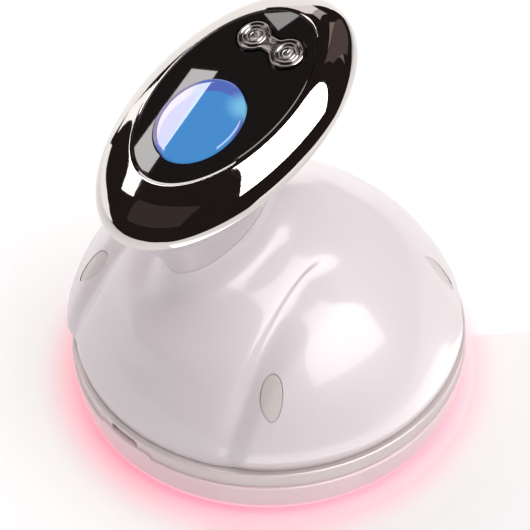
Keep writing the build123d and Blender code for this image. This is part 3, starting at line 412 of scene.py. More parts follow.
class Dome:
    """The dome as a function: sections in planes that tilt, step by step, about the front of the collar, each
    a power sum of the sphere's circle and the neck's oval, with valleys cut in and cheeks raised"""

    def __init__(self, sizes):
        self.s = s = sizes
        top = s.rim_height + s.cap_rise
        self.shoulder_z = s.rim_height + s.shoulder_height
        self.shoulder_radius = s.base_radius - s.shoulder_inset
        self.sphere_z = top**2 - self.shoulder_radius**2 - self.shoulder_z**2
        self.sphere_z /= 2 * (top - self.shoulder_z)
        self.sphere_radius = top - self.sphere_z
        self.collar_z = top - s.collar_drop
        self.ghost_z = s.rim_height + s.ghost_bottom

    def plane(self, height):
        """Tilt of the plane of a section, how far below it and how far along it the sphere's centre is, and
        the section's own centre, which moves to the collar's as the tilt grows"""
        s = self.s
        share = np.clip((height - self.ghost_z) / (self.collar_z - self.ghost_z), 0.0, 1.0)
        tilt = s.head_tilt * share
        away = (self.sphere_z - height) * np.cos(tilt) - s.neck_front * np.sin(tilt)
        circle_y = (self.sphere_z - height) * np.sin(tilt) + s.neck_front * np.cos(tilt)
        return tilt, away, circle_y, circle_y + (s.neck_half_length - circle_y) * share

    def dent(self, x, y, height):
        """Depth below the smooth dome. A valley is a bell across a line down each side. Outside it stands a
        cheek: smooth steps at the valley, at the rear and above the rim, multiplied"""
        s = self.s
        side = np.abs(x)
        line = s.valley_offset + s.valley_splay * smooth(-y, s.valley_start, s.valley_end)
        along = smooth(-y, s.valley_start, s.valley_start + s.valley_fade)
        along = along * (1 - smooth(-y, s.valley_end - s.valley_fade, s.valley_end))
        valley = s.valley_depth * along * np.exp(-(((side - line) / s.valley_width) ** 2))
        edge = s.cheek_edge + s.cheek_soft * smooth(y, -s.valley_fade, s.valley_fade)
        cheek = smooth(side - line, 0.0, edge)
        cheek = cheek * (1 - smooth(y, s.cheek_back - s.cheek_fade, s.cheek_back + s.cheek_fade))
        cheek = cheek * smooth(height, s.rim_height + s.cheek_low, s.rim_height + s.cheek_full)
        rise = s.cheek_rise * (1 - (1 - s.cheek_rear) * smooth(y, -s.cheek_turn, s.cheek_turn))
        sink = s.rear_sink * smooth(y, -s.rear_start, s.rear_full)
        sink = sink * smooth(height, s.rim_height, s.rim_height + s.rear_height)
        return valley + sink - rise * cheek

    def flare(self, away):
        """Widening of the neck: it grows by a power of e down to the sphere and on at the same pace, and is 0
        at the collar"""
        s = self.s
        above = -away - self.sphere_radius
        collar = (self.collar_z - self.sphere_z) * np.cos(s.head_tilt) + s.neck_front * np.sin(s.head_tilt)
        collar -= self.sphere_radius
        grown = np.exp(-np.maximum(above, 0.0) / s.neck_flare_fall)
        grown += np.maximum(-above, 0.0) / s.neck_flare_fall
        return s.neck_flare * (grown - np.exp(-collar / s.neck_flare_fall))

    def section(self, height, angle, inset=0.0):
        """Radius of the section at an angle about its centre, with the centre and the tilt. Under the
        sphere's shoulder the circle follows a parabola down to the rim, by a soft minimum of the two. The
        circle and the neck's oval are joined by a power sum"""
        s = self.s
        tilt, away, circle_y, centre = self.plane(height)
        circle = np.sqrt(np.maximum((self.sphere_radius - inset) ** 2 - away**2, 0.0))
        rolled = self.shoulder_z - height
        lost = (s.rim_inset - s.shoulder_inset) * (np.maximum(rolled, 0.0) / s.shoulder_height) ** 2
        rim = self.shoulder_radius - inset - lost
        circle = (rim + circle - np.sqrt((rim - circle) ** 2 + s.shoulder_soft**2)) / 2
        ghost = smooth(height, self.ghost_z, s.rim_height + s.ghost_top)
        flare = self.flare(away)
        half_width = (s.neck_half_width + flare - inset) * ghost
        front = (centre + s.flare_front * flare - inset) * ghost
        spine = s.spine_reach * smooth(self.collar_z - height, 0, s.spine_fall)
        back = (s.neck_half_length + spine - inset) * ghost
        side, ahead = np.sin(angle), np.cos(angle)
        offset = circle_y - centre
        ball = np.maximum(offset * ahead + np.sqrt(np.maximum(circle**2 - (offset * side) ** 2, 0.0)), 0.0)
        reach = np.where(ahead < 0, front, back)
        neck = 1 / np.hypot(side / np.maximum(half_width, TINY), ahead / np.maximum(reach, TINY))
        radius = (ball**s.blend_power + neck**s.blend_power) ** (1 / s.blend_power)
        x = radius * side
        ground = -s.neck_front + (centre + radius * ahead) * np.cos(tilt)
        steep = np.maximum(np.hypot(x, ground) / self.sphere_radius, STEEPEST)
        return radius - self.dent(x, ground, height) / steep, centre, tilt

    def points(self, height, angle, inset=0.0):
        """Surface points for arrays of section heights and angles"""
        radius, centre, tilt = self.section(height, angle, inset)
        x = radius * np.sin(angle)
        along = centre + radius * np.cos(angle)
        y = -self.s.neck_front + along * np.cos(tilt)
        z = height + along * np.sin(tilt)
        return np.stack([x, y, z], axis=-1)

    def height_at(self, x, y):
        """Height of the dome over ground points: halves the section's height until its outline is there"""
        low = np.full(np.shape(x), self.s.rim_height)
        high = np.full(np.shape(x), self.collar_z)
        for _ in range(40):
            middle = (low + high) / 2
            tilt, _, _, centre = self.plane(middle)
            beyond = (y + self.s.neck_front) / np.cos(tilt) - centre
            inside = np.hypot(x, beyond) < self.section(middle, np.arctan2(x, beyond))[0]
            low = np.where(inside, middle, low)
            high = np.where(inside, high, middle)
        return low + (y + self.s.neck_front) * np.tan(self.plane(low)[0])


def plug_centres(sizes):
    """Centres of the four plugs on their circle"""
    angle = np.pi / 4 + around(4)
    return sizes.plug_circle * np.cos(angle), sizes.plug_circle * np.sin(angle)


def plug_ovals(sizes, x, y, larger, share):
    """Places on ovals round the plug at x, y: the half axes are grown by larger, then scaled by each share"""
    turn = around(64)
    out = (sizes.plug_half_length + larger) * share[:, None] * np.cos(turn)
    along = (sizes.plug_half_width + larger) * share[:, None] * np.sin(turn)
    angle = np.arctan2(y, x)
    return x + out * np.cos(angle) - along * np.sin(angle), y + out * np.sin(angle) + along * np.cos(angle)


def head_points(x, up_slope, above):
    """World points from places across, up the slope from the collar's centre, and above the collar"""
    dome = Dome(bpy.context.scene.device_dome)
    s = dome.s
    along = s.neck_half_length + up_slope
    x, along, above = np.broadcast_arrays(x, along, above)
    y = -s.neck_front + along * np.cos(s.head_tilt) - above * np.sin(s.head_tilt)
    z = dome.collar_z + along * np.sin(s.head_tilt) + above * np.cos(s.head_tilt)
    return np.stack([x, y, z], axis=-1)


def panel_points(x, up_slope, above):
    """World points from places on the panel: across, up the slope from its centre, and above its top"""
    s = bpy.context.scene.device_head
    return head_points(x, s.grip_reach + s.panel_shift + up_slope, s.grip_height + s.bezel_height + above)


def ovals(to_world, half_width, half_length, above, across=0.0, up_slope=0.0, count=AROUND_BUTTON):
    """Rings of points: an oval about a middle for each row of half width, half length and height. to_world
    is the function head_points or panel_points"""
    angle = around(count)
    half_width, half_length, above, up_slope = (
        np.reshape(value, (-1, 1)) for value in (half_width, half_length, above, up_slope))
    return to_world(across + half_width * np.cos(angle), up_slope + half_length * np.sin(angle), above)


def closed_on_panel(rings, low, high, across=0.0, up_slope=0.0):
    """A skin of rings on the panel, closed by a fan to a middle point at its low and its high end"""
    return outward(skin(rings, *(panel_points(across, up_slope, above) for above in (low, high))))


def round_hole(radius, across, up_slope, narrow=1.0):
    """A round or oval prism that cuts a hole in the panel"""
    rings = ovals(panel_points, [narrow * radius] * 2, [radius] * 2, HOLE, across, up_slope)
    return new_mesh("hole", closed_on_panel(rings, *HOLE, across, up_slope))


def cap_holes():
    """Cutters for the two buttons"""
    s = bpy.context.scene.device_head
    return [round_hole(s.button_radius + s.button_gap, side * s.button_half_spacing, s.button_offset)
            for side in (-1, 1)]


def figure_eight(offset, steps=48):
    """Outline of the button frame, offset outwards: two arcs of a circle joined to straight waists by small
    arcs that bend the other way. Half width and half waist grow with the offset, and the small arcs shrink"""
    s = bpy.context.scene.device_head
    end = s.frame_radius + offset
    waist = s.frame_waist / 2 + offset
    bend = s.frame_radius * s.frame_bend - offset
    reach = np.sqrt((end + bend) ** 2 - (waist + bend) ** 2)
    corner_x = s.button_half_spacing - reach
    opening = np.arctan2(waist + bend, -reach)
    big = np.linspace(-opening, opening, steps)
    right = np.stack([s.button_half_spacing + end * np.cos(big), end * np.sin(big)], axis=-1)
    small = np.linspace(opening - np.pi, -np.pi / 2, steps // 4)[1:]
    top_right = np.stack([corner_x + bend * np.cos(small), waist + bend + bend * np.sin(small)], axis=-1)
    straight = np.linspace(corner_x, -corner_x, 8)[1:-1]
    top = np.stack([straight, np.full(len(straight), waist)], axis=-1)
    half = np.vstack([right, top_right, top, top_right[::-1] * [-1, 1]])
    return np.vstack([half, (right * [-1, -1])[1:-1], top_right * [-1, -1], top * [-1, -1],
                      (top_right[::-1] * [1, -1])[:-1]])


def eight_rings(levels):
    """Rings on the panel: the outline of the button frame for each pair of offset and height"""
    s = bpy.context.scene.device_head
    return np.stack([panel_points(*(figure_eight(offset) + [0, s.button_offset]).T, above)
                     for offset, above in levels])


# Materials


def feed(node, **values):
    """Sets a node's properties, and its inputs by name. A value that is a socket is linked to the input"""
    for key, value in values.items():
        if hasattr(node, key):
            setattr(node, key, value)
            continue
        entry = node.inputs[key.replace("_", " ")]
        if isinstance(value, bpy.types.NodeSocket):
            node.id_data.links.new(value, entry)
        else:
            entry.default_value = value
    return node


def add_node(tree, kind, **values):
    """A new node with its properties and inputs"""
    return feed(tree.nodes.new(kind), **values)


def math_node(tree, operation, *values):
    """Result of a Math node fed by sockets or numbers"""
    node = add_node(tree, "ShaderNodeMath", operation=operation)
    for entry, value in zip(node.inputs, values):
        if isinstance(value, bpy.types.NodeSocket):
            tree.links.new(value, entry)
        else:
            entry.default_value = value
    return node.outputs[0]


def eased(tree, value, low, high, first=0.0, second=1.0):
    """The first result below low, the second above high, and a smooth step between them"""
    return add_node(tree, "ShaderNodeMapRange", interpolation_type="SMOOTHSTEP", Value=value, From_Min=low,
                    From_Max=high, To_Min=first, To_Max=second).outputs["Result"]


def mixed(tree, factor, first, second, blend="MIX"):
    """A mix of two colours, each a value or a socket"""
    first, second = (colour if isinstance(colour, bpy.types.NodeSocket) else (*colour, 1)
                     for colour in (first, second))
    return add_node(tree, "ShaderNodeMix", data_type="RGBA", blend_type=blend, Factor=factor, A=first,
                    B=second).outputs["Result"]


def object_coordinates(tree):
    """Object coordinates of a material"""
    node = tree.nodes.get("Texture Coordinate") or tree.nodes.new("ShaderNodeTexCoord")
    return node.outputs["Object"]


def node_group(name, inputs, outputs):
    """A shader node group with named sockets, the sockets of its input node, and its output node. The last
    two are None where it is already built"""
    found = bpy.data.node_groups.get(name)
    if found:
        return found, None, None
    group = bpy.data.node_groups.new(name, "ShaderNodeTree")
    for way, sockets in (("INPUT", inputs), ("OUTPUT", outputs)):
        for socket, kind in sockets.items():
            group.interface.new_socket(name=socket, in_out=way, socket_type="NodeSocket" + kind)
    return group, group.nodes.new("NodeGroupInput").outputs, group.nodes.new("NodeGroupOutput")


def surface_marks():
    """Group: faint handling marks and moulding ripple. Roughness is the base plus soft noise times its
    spread, and Height is a fine orange-peel noise"""
    group, given, result = node_group(
        "Surface marks", {"Vector": "Vector", "Scale": "Float", "Roughness": "Float", "Spread": "Float"},
        {"Roughness": "Float", "Height": "Float"})
    if given is None:
        return group
    cloud = add_node(group, "ShaderNodeTexNoise", Detail=3.0, Roughness=0.55, Vector=given["Vector"],
                     Scale=given["Scale"])
    peel = add_node(group, "ShaderNodeTexNoise", Detail=1.0, Roughness=0.4, Vector=given["Vector"],
                    Scale=math_node(group, "MULTIPLY", given["Scale"], 14.0))
    centred = math_node(group, "SUBTRACT", cloud.outputs["Fac"], 0.5)
    spread = math_node(group, "MULTIPLY", centred, given["Spread"])
    feed(result, Roughness=math_node(group, "ADD", given["Roughness"], spread), Height=peel.outputs["Fac"])
    return group


def tint_drift():
    """Group: a slow drift between two colours by soft noise, as in pearl or translucent plastic"""
    group, given, result = node_group(
        "Tint drift", {"Vector": "Vector", "Scale": "Float", "First": "Color", "Second": "Color"},
        {"Color": "Color"})
    if given is None:
        return group
    cloud = add_node(group, "ShaderNodeTexNoise", Detail=2.0, Vector=given["Vector"], Scale=given["Scale"])
    feed(result, Color=mixed(group, cloud.outputs["Fac"], given["First"], given["Second"]))
    return group


def new_material(name):
    """An empty material with its shader"""
    material = bpy.data.materials.new(name)
    material.use_nodes = True
    return material, material.node_tree.nodes["Principled BSDF"]


def finish(name, base, rough, spread=0.04, scale=60.0, peel=0.02, drift=0.06, **shader):
    """A material: tint drift on the colour, surface marks on roughness and height, the rest on the shader"""
    material = bpy.data.materials.get(name)
    if material:
        return material
    material, principled = new_material(name)
    tree = material.node_tree
    second = [channel * (1 - drift) for channel in base]
    tint = add_node(tree, "ShaderNodeGroup", node_tree=tint_drift(), Vector=object_coordinates(tree),
                    Scale=scale / 3, First=(*base, 1), Second=(*second, 1))
    marks = add_node(tree, "ShaderNodeGroup", node_tree=surface_marks(), Vector=object_coordinates(tree),
                     Scale=scale, Roughness=rough, Spread=spread)
    bump = add_node(tree, "ShaderNodeBump", Strength=peel, Distance=0.0002, Height=marks.outputs["Height"])
    feed(principled, Base_Color=tint.outputs["Color"], Roughness=marks.outputs["Roughness"],
         Normal=bump.outputs["Normal"], **shader)
    return material


def pearl_finish():
    """Gloss pearl plastic of the dome and grip"""
    return finish("Pearl plastic", bpy.context.scene.device_finishes.pearl, 0.40, scale=40, peel=0.01,
                  drift=0.03, Coat_Weight=0.6, Coat_Roughness=0.09, IOR=1.5)


# Operators


class DEVICE_OT_dome(bpy.types.Operator):
    """Dome and neck: the dome function on a grid of angles and section heights, with a wall, cut for the
    plugs"""

    bl_idname = "device.dome"
    bl_label = "Dome"

    def execute(self, context):
        s = context.scene.device_dome
        dome = Dome(s)
        angle = around(AROUND_DOME)[None, :]
        share = np.linspace(0, 1, UP_DOME)
        share = share + CROWDING * np.sin(np.pi * share) / np.pi
        heights = s.rim_height + (dome.collar_z - s.rim_height) * share
        outer = dome.points(heights[FOOT_RINGS:, None], angle)
        inner = dome.points(heights[::-WALL_STEP][:, None], angle, s.wall)
        foot = []
        for lost, lift in ((1.0, 0.0), (0.3, 0.3), (0.0, 1.0)):
            foot.append(dome.points(np.full((1, 1), s.rim_height), angle, s.rim_round * lost))
            foot[-1][:, :, 2] += s.rim_round * lift
        rings = np.concatenate([*foot, outer, inner])
        piece = new_mesh("dome", outward(skin(rings, loop=True)), sharp=0.7)
        ends = s.rim_height + np.array([s.plug_seat - s.plug_under, 2 * s.cap_rise])
        cutters = []
        for x, y in zip(*plug_centres(s)):
            across, ahead = plug_ovals(s, x, y, 0.0, np.ones(2))
            rings = np.stack([across, ahead, ends[:, None] + 0 * across], axis=-1)
            cutters.append(new_mesh("hole", outward(skin(rings, *(np.array([x, y, end]) for end in ends)))))
        carve(piece, cutters, sharp=0.7)
        place(piece, HOUSING, ["dome_shell"], pearl_finish())
        return {"FINISHED"}


class DEVICE_OT_plugs(bpy.types.Operator):
    """Screw plugs: discs laid on the dome function, a little below it, with a rounded edge"""

    bl_idname = "device.plugs"
    bl_label = "Screw plugs"

    def execute(self, context):
        s = context.scene.device_dome
        dome = Dome(s)
        share = np.array([1.0, 1.0, 0.985, 0.95, 0.9, 0.8, 0.6, 0.4, 0.2])
        lower = np.array([0.0, 0.00035, 0.00015, 0.00004, 0, 0, 0, 0, 0])
        parts = []
        for x, y in zip(*plug_centres(s)):
            across, ahead = plug_ovals(s, x, y, -s.plug_gap, share)
            height = dome.height_at(across, ahead) - s.plug_recess - lower[:, None]
            height[0] = s.rim_height + s.plug_seat
            rings = np.stack([across, ahead, height], axis=-1)
            middle = dome.height_at(np.array([x]), np.array([y]))[0] - s.plug_recess
            parts.append(outward(skin(rings, np.array([x, y, height[0, 0]]), np.array([x, y, middle]))))
        material = finish("Plug satin", context.scene.device_finishes.plug, 0.42, spread=0.1, scale=160,
                          peel=0.08)
        place(new_mesh("plugs", joined(parts)), HOUSING, ["screw_plugs"], material)
        return {"FINISHED"}


def base_ring(name, profile, radius, low, high, gap=0.0):
    """A profile of radius and height carried round the base, and cut for the slot. On the side of the slot
    the tab lifts it: by nothing at the height low, and by the tab's rise and the gap at the height high"""
    s = bpy.context.scene.device_base
    step = np.arcsin(s.tab_half / radius)
    close = np.concatenate([side * step + np.linspace(-0.006, 0.006, 9) for side in (-1, 1)]) - np.pi / 2
    angle = np.sort(np.concatenate([around(AROUND_BASE) - np.pi, close]))
    across = np.abs(radius * np.cos(angle))
    tab = 1 - smooth(across, s.tab_half - s.tab_soft, s.tab_half + s.tab_soft)
    lift = s.tab_rise * tab * (np.sin(angle) < 0) + gap
    share = smooth(profile[:, 1:], min(low, high), max(low, high))
    share = share if high > low else 1 - share
    out, up = profile[:, :1], profile[:, 1:]
    rings = np.stack([out * np.cos(angle), out * np.sin(angle), up + lift * share], axis=-1)
    piece = new_mesh(name, outward(skin(rings, loop=True)))
    carve(piece, [slot_cutter(s, radius)])
    return piece


def slot_cutter(s, radius):
    """Stadium-shaped prism through band and lower shell for the charging port"""
    half = s.slot_height / 2
    right = np.linspace(-np.pi / 2, np.pi / 2, 24)
    across = s.slot_width / 2 - half + half * np.cos(right)
    up = half * np.sin(right)
    depths = np.array(SLOT) - radius
    rings = np.stack(np.broadcast_arrays(np.concatenate([across, -across]), depths[:, None],
                                         s.slot_centre + np.concatenate([up, -up])), axis=-1)
    return new_mesh("hole", outward(skin(rings, *(np.array([0, depth, s.slot_centre]) for depth in depths))))


class DEVICE_OT_band(bpy.types.Operator):
    """Trim band: a rounded section carried round the base, its lower edge stepped over the tab"""

    bl_idname = "device.band"
    bl_label = "Trim band"

    def execute(self, context):
        s, dome = context.scene.device_base, context.scene.device_dome
        radius, top = dome.base_radius, dome.rim_height
        inner, under = radius - s.band_wall, top - s.band_wall
        flange = radius - dome.rim_inset - dome.wall
        profile = rounded(
            [(radius, s.seam), (radius, top), (flange, top), (flange, under), (inner, under),
             (inner, s.seam)], [s.band_edge * 0.5, s.band_edge, 0, 0, 0, 0])
        piece = base_ring("band", profile, radius, s.seam + s.tab_fade, s.seam, s.seam_gap)
        material = finish("Band silver", context.scene.device_finishes.band, 0.30, spread=0.06, scale=120,
                          peel=0.03, Coat_Weight=0.4, Coat_Roughness=0.15, Metallic=0.25)
        place(piece, HOUSING, ["trim_band"], material)
        return {"FINISHED"}


class DEVICE_OT_lower_shell(bpy.types.Operator):
    """Lower shell: a cup with a rounded underside and the tab under the slot, lit red from inside"""

    bl_idname = "device.lower_shell"
    bl_label = "Lower shell"

    def execute(self, context):
        s, dome = context.scene.device_base, context.scene.device_dome
        radius = dome.base_radius + s.bulge
        inner, floor = radius - s.wall, s.underside + s.wall
        hole = s.probe_radius + s.probe_gap
        profile = rounded(
            [(radius, s.underside), (radius, s.seam), (inner, s.seam), (inner, floor), (hole, floor),
             (hole, s.underside)], [s.corner, s.seam_edge, 0, s.inner_corner, 0, s.probe_edge], steps=12)
        piece = base_ring("lower_shell_skin", profile, radius, s.seam - s.tab_fade, s.seam)
        place(piece, HOUSING, ["lower_shell"], self.glow_finish(context))
        return {"FINISHED"}

    def glow_finish(self, context):
        """Milky plastic whose red glow grows towards its underside"""
        s, finishes = context.scene.device_base, context.scene.device_finishes
        material = finish("Milky plastic", finishes.milky, 0.22, spread=0.06, scale=70, Coat_Weight=0.5,
                          Coat_Roughness=0.1)
        tree = material.node_tree
        height = add_node(tree, "ShaderNodeSeparateXYZ", Vector=object_coordinates(tree)).outputs["Z"]
        lit = eased(tree, height, s.glow_end, s.glow_full)
        feed(tree.nodes["Principled BSDF"], Emission_Strength=finishes.glow_strength,
             Emission_Color=mixed(tree, lit, finishes.glow_faint, finishes.glow))
        return material


def grip_section(share, inset):
    """Half width, half length and centre up the slope of the grip: a power of the share of the way from
    collar to bezel"""
    dome, s = bpy.context.scene.device_dome, bpy.context.scene.device_head
    flare = share**s.grip_flare
    lost = inset * (1 + s.grip_thicken * flare)
    half_width = dome.neck_half_width + (s.head_half_width - dome.neck_half_width) * flare - lost
    half_length = dome.neck_half_length + (s.head_half_length - dome.neck_half_length) * flare - lost
    return half_width, half_length, s.grip_reach * flare


class DEVICE_OT_grip(bpy.types.Operator):
    """Grip: ellipses that flare by a power of height from the collar to the bezel, with a wall"""

    bl_idname = "device.grip"
    bl_label = "Grip"

    def execute(self, context):
        s = context.scene.device_head
        height = np.linspace(0, 1, 60) * s.grip_height
        edge = np.array([0.00035, 0.00012, 0.00003, 0.0])
        lift = np.array([0.00002, 0.00008, 0.0002, 0.00035])
        rings = []
        for heights, insets in ((lift, edge), (height[2:], 0), (height[::-6], s.grip_wall)):
            half_width, half_length, centre = grip_section(heights / s.grip_height, insets)
            rings.append(ovals(head_points, half_width, half_length, heights, 0.0, centre, AROUND_GRIP))
        piece = new_mesh("grip", outward(skin(np.concatenate(rings), loop=True)), sharp=0.8)
        place(piece, HOUSING, ["grip_shell"], pearl_finish())
        return {"FINISHED"}


class DEVICE_OT_bezel(bpy.types.Operator):
    """Chrome bezel: a quarter round from the panel out to the rim, rolled in under it, hollow below"""

    bl_idname = "device.bezel"
    bl_label = "Bezel"

    def execute(self, context):
        s, finishes = context.scene.device_head, context.scene.device_finishes
        turn = np.linspace(0, np.pi / 2, 48)[2:]
        rolled = np.linspace(0, np.pi * 0.55, 12)[1:]
        inner = turn[::-4]
        depth = s.bezel_height - s.panel_thickness - s.bezel_seat
        grown = np.concatenate([
            [0.0, 0.0, 0.004], np.sin(turn), np.ones(len(rolled)), np.sin(inner), [0.0]])
        lost = np.concatenate([[0.00008, 0.0, 0.0], 0 * turn, s.bezel_roll * 0.6 * (1 - np.cos(rolled)),
                               np.full(len(inner), s.bezel_wall), [0.00008]])
        above = np.concatenate([
            s.bezel_height - np.array([0.0002, 0.00004, 0.0]), s.bezel_height * np.cos(turn),
            np.full(len(rolled), 0.00002), depth * 0.9 * np.cos(inner), [depth]])
        half_width = s.panel_half_width + (s.head_half_width - s.panel_half_width) * grown - lost
        half_length = s.panel_half_length + (s.head_half_length - s.panel_half_length) * grown - lost
        centre = s.grip_reach + s.panel_shift * (1 - grown)
        rings = ovals(head_points, half_width, half_length, s.grip_height + above, 0.0, centre, AROUND_PANEL)
        piece = new_mesh("bezel", outward(skin(rings, loop=True)), sharp=0.9)
        material = finish("Mirror chrome", finishes.chrome, 0.03, spread=0.03, scale=90, peel=0.012,
                          drift=0.03, Metallic=1.0)
        place(piece, HOUSING, ["chrome_bezel"], material)
        return {"FINISHED"}


class DEVICE_OT_panel(bpy.types.Operator):
    """Black panel: an oval plate with a quarter-round edge, cut for the lens and recessed round the
    buttons"""

    bl_idname = "device.panel"
    bl_label = "Panel"

    def execute(self, context):
        s = context.scene.device_head
        turn = np.linspace(0, np.pi / 2, 8)
        flat = s.panel_edge + np.array([0.00003, 0.0002, 0.001, 0.004, 0.010])
        inset = s.panel_gap + np.concatenate([[0.0], s.panel_edge * (1 - np.cos(turn)), flat])
        above = np.concatenate([[-s.panel_thickness], s.panel_edge * (np.sin(turn) - 1), 0 * flat])
        rings = ovals(panel_points, s.panel_half_width - inset, s.panel_half_length - inset, above,
                      count=AROUND_PANEL)
        piece = new_mesh("panel", closed_on_panel(rings, -s.panel_thickness, 0.0), sharp=0.5)
        ends = (-s.frame_recess, 0.001)
        recess = eight_rings([(s.recess_margin, end) for end in ends])
        narrow = s.lens_half_width / s.lens_half_length
        carve(piece, [
            round_hole(s.lens_half_length + 0.0001, 0.0, s.lens_offset, narrow),
            new_mesh("hole", closed_on_panel(recess, *ends, 0.0, s.button_offset)), *cap_holes()], sharp=0.5)
        material = finish("Piano black", context.scene.device_finishes.panel, 0.04, spread=0.03, scale=70,
                          peel=0.004, Coat_Weight=1.0, Coat_Roughness=0.012, Coat_IOR=1.6,
                          Specular_IOR_Level=0.0)
        place(piece, HOUSING, ["display_panel"], material)
        return {"FINISHED"}


# What parts the colours of the lens, with places across and up the slope from the panel's middle. Lines:
# their two ends and soft width. Ovals: their middle, their half axes, and the shares of these where a soft
# edge begins and ends
# The two lines bound painted reflection: violet inside the lit oval and lavender in the surround, left of
# them
OVAL_REFLECTION_LINE = ((-0.0049, -0.0021), (-0.0012, -0.0212), 0.0008)
SIDE_REFLECTION_LINE = ((-0.0078, 0.0020), (-0.0050, -0.0150), 0.0022)
LIT_OVAL = ((0.0016, -0.0106), (0.0088, 0.0105), 0.97, 1.03)
BRIGHT_OVAL = ((0.0072, -0.0006), (0.0044, 0.0034), 0.2, 1.4)


class DEVICE_OT_lens(bpy.types.Operator):
    """Lens: an oval puck about the normal of the panel, lit blue, with a quarter-round edge and a faintly
    domed top"""

    bl_idname = "device.lens"
    bl_label = "Lens"

    def execute(self, context):
        s = context.scene.device_head
        radius = s.lens_half_length - s.lens_gap
        narrow = s.lens_half_width / s.lens_half_length
        turn = np.linspace(0, np.pi / 2, 12)
        share = np.linspace(1, 0.03, 16)[1:]
        reach = np.concatenate([[radius], radius - s.lens_edge * (1 - np.cos(turn)),
                                (radius - s.lens_edge) * share])
        above = np.concatenate([[-s.panel_thickness], s.lens_crown - s.lens_edge * (1 - np.sin(turn)),
                                s.lens_crown + s.lens_dome * (1 - share**2)])
        rings = ovals(panel_points, narrow * reach, reach, above, 0.0, s.lens_offset, AROUND_LENS)
        piece = new_mesh("lens", closed_on_panel(
            rings, -s.panel_thickness, s.lens_crown + s.lens_dome, 0.0, s.lens_offset), sharp=0.5)
        place(piece, HOUSING, ["status_lens"], self.lit_finish(context))
        return {"FINISHED"}

    def lit_finish(self, context):
        """Blue glow under a gloss coat: a lit oval, violet left of a line, in a surround that is paler left
        of another line, and a bright spot at the upper right. The violet, the purple surround and the paler
        lavender are partly painted reflection of a pale light mirrored in the lens, laid over the glow"""
        finishes = context.scene.device_finishes
        material = finish("Lit lens", finishes.lens_base, 0.06, spread=0.02, scale=50, peel=0.0,
                          Coat_Weight=1.0, Coat_Roughness=0.01, Coat_IOR=1.75, Specular_IOR_Level=0.0)
        tree = material.node_tree
        # Painted reflection: violet left of one line in the lit oval, lavender left of another in the
        # surround
        inside = mixed(tree, self.line_mask(tree, *OVAL_REFLECTION_LINE), finishes.lens_oval_painted_reflection, finishes.lens)
        surround = mixed(tree, self.line_mask(tree, *SIDE_REFLECTION_LINE), finishes.lens_side_painted_reflection, finishes.lens_surround_glow_and_painted_reflection)
        whole = mixed(tree, self.oval_mask(tree, *LIT_OVAL), inside, surround)
        whole = mixed(tree, self.oval_mask(tree, *BRIGHT_OVAL), finishes.lens_bright, whole)
        feed(tree.nodes["Principled BSDF"], Emission_Color=whole, Emission_Strength=1.0)
        return material

    def from_place(self, tree, middle, scale=(1.0, 1.0, 1.0)):
        """Coordinates across and up the panel from a place on it, over a scale"""
        return add_node(
            tree, "ShaderNodeMapping", vector_type="TEXTURE", Vector=object_coordinates(tree), Scale=scale,
            Rotation=(bpy.context.scene.device_dome.head_tilt, 0, 0),
            Location=tuple(panel_points(*middle, 0.0))).outputs["Vector"]

    def line_mask(self, tree, top, bottom, soft):
        """0 on the left and 1 on the right of a line down the panel, with a smooth step across it"""
        along = np.subtract(bottom, top) / np.linalg.norm(np.subtract(bottom, top))
        across = add_node(tree, "ShaderNodeVectorMath", operation="DOT_PRODUCT",
                          Vector=self.from_place(tree, top))
        across.inputs[1].default_value = (-along[1], along[0], 0.0)
        return eased(tree, across.outputs["Value"], -soft / 2, soft / 2)

    def oval_mask(self, tree, middle, half_axes, inner, outer):
        """0 inside and 1 outside an oval on the panel, with a smooth step between two shares of its size"""
        distance = add_node(tree, "ShaderNodeVectorMath", operation="LENGTH",
                            Vector=self.from_place(tree, middle, (*half_axes, FLAT)))
        return eased(tree, distance.outputs["Value"], inner, outer)


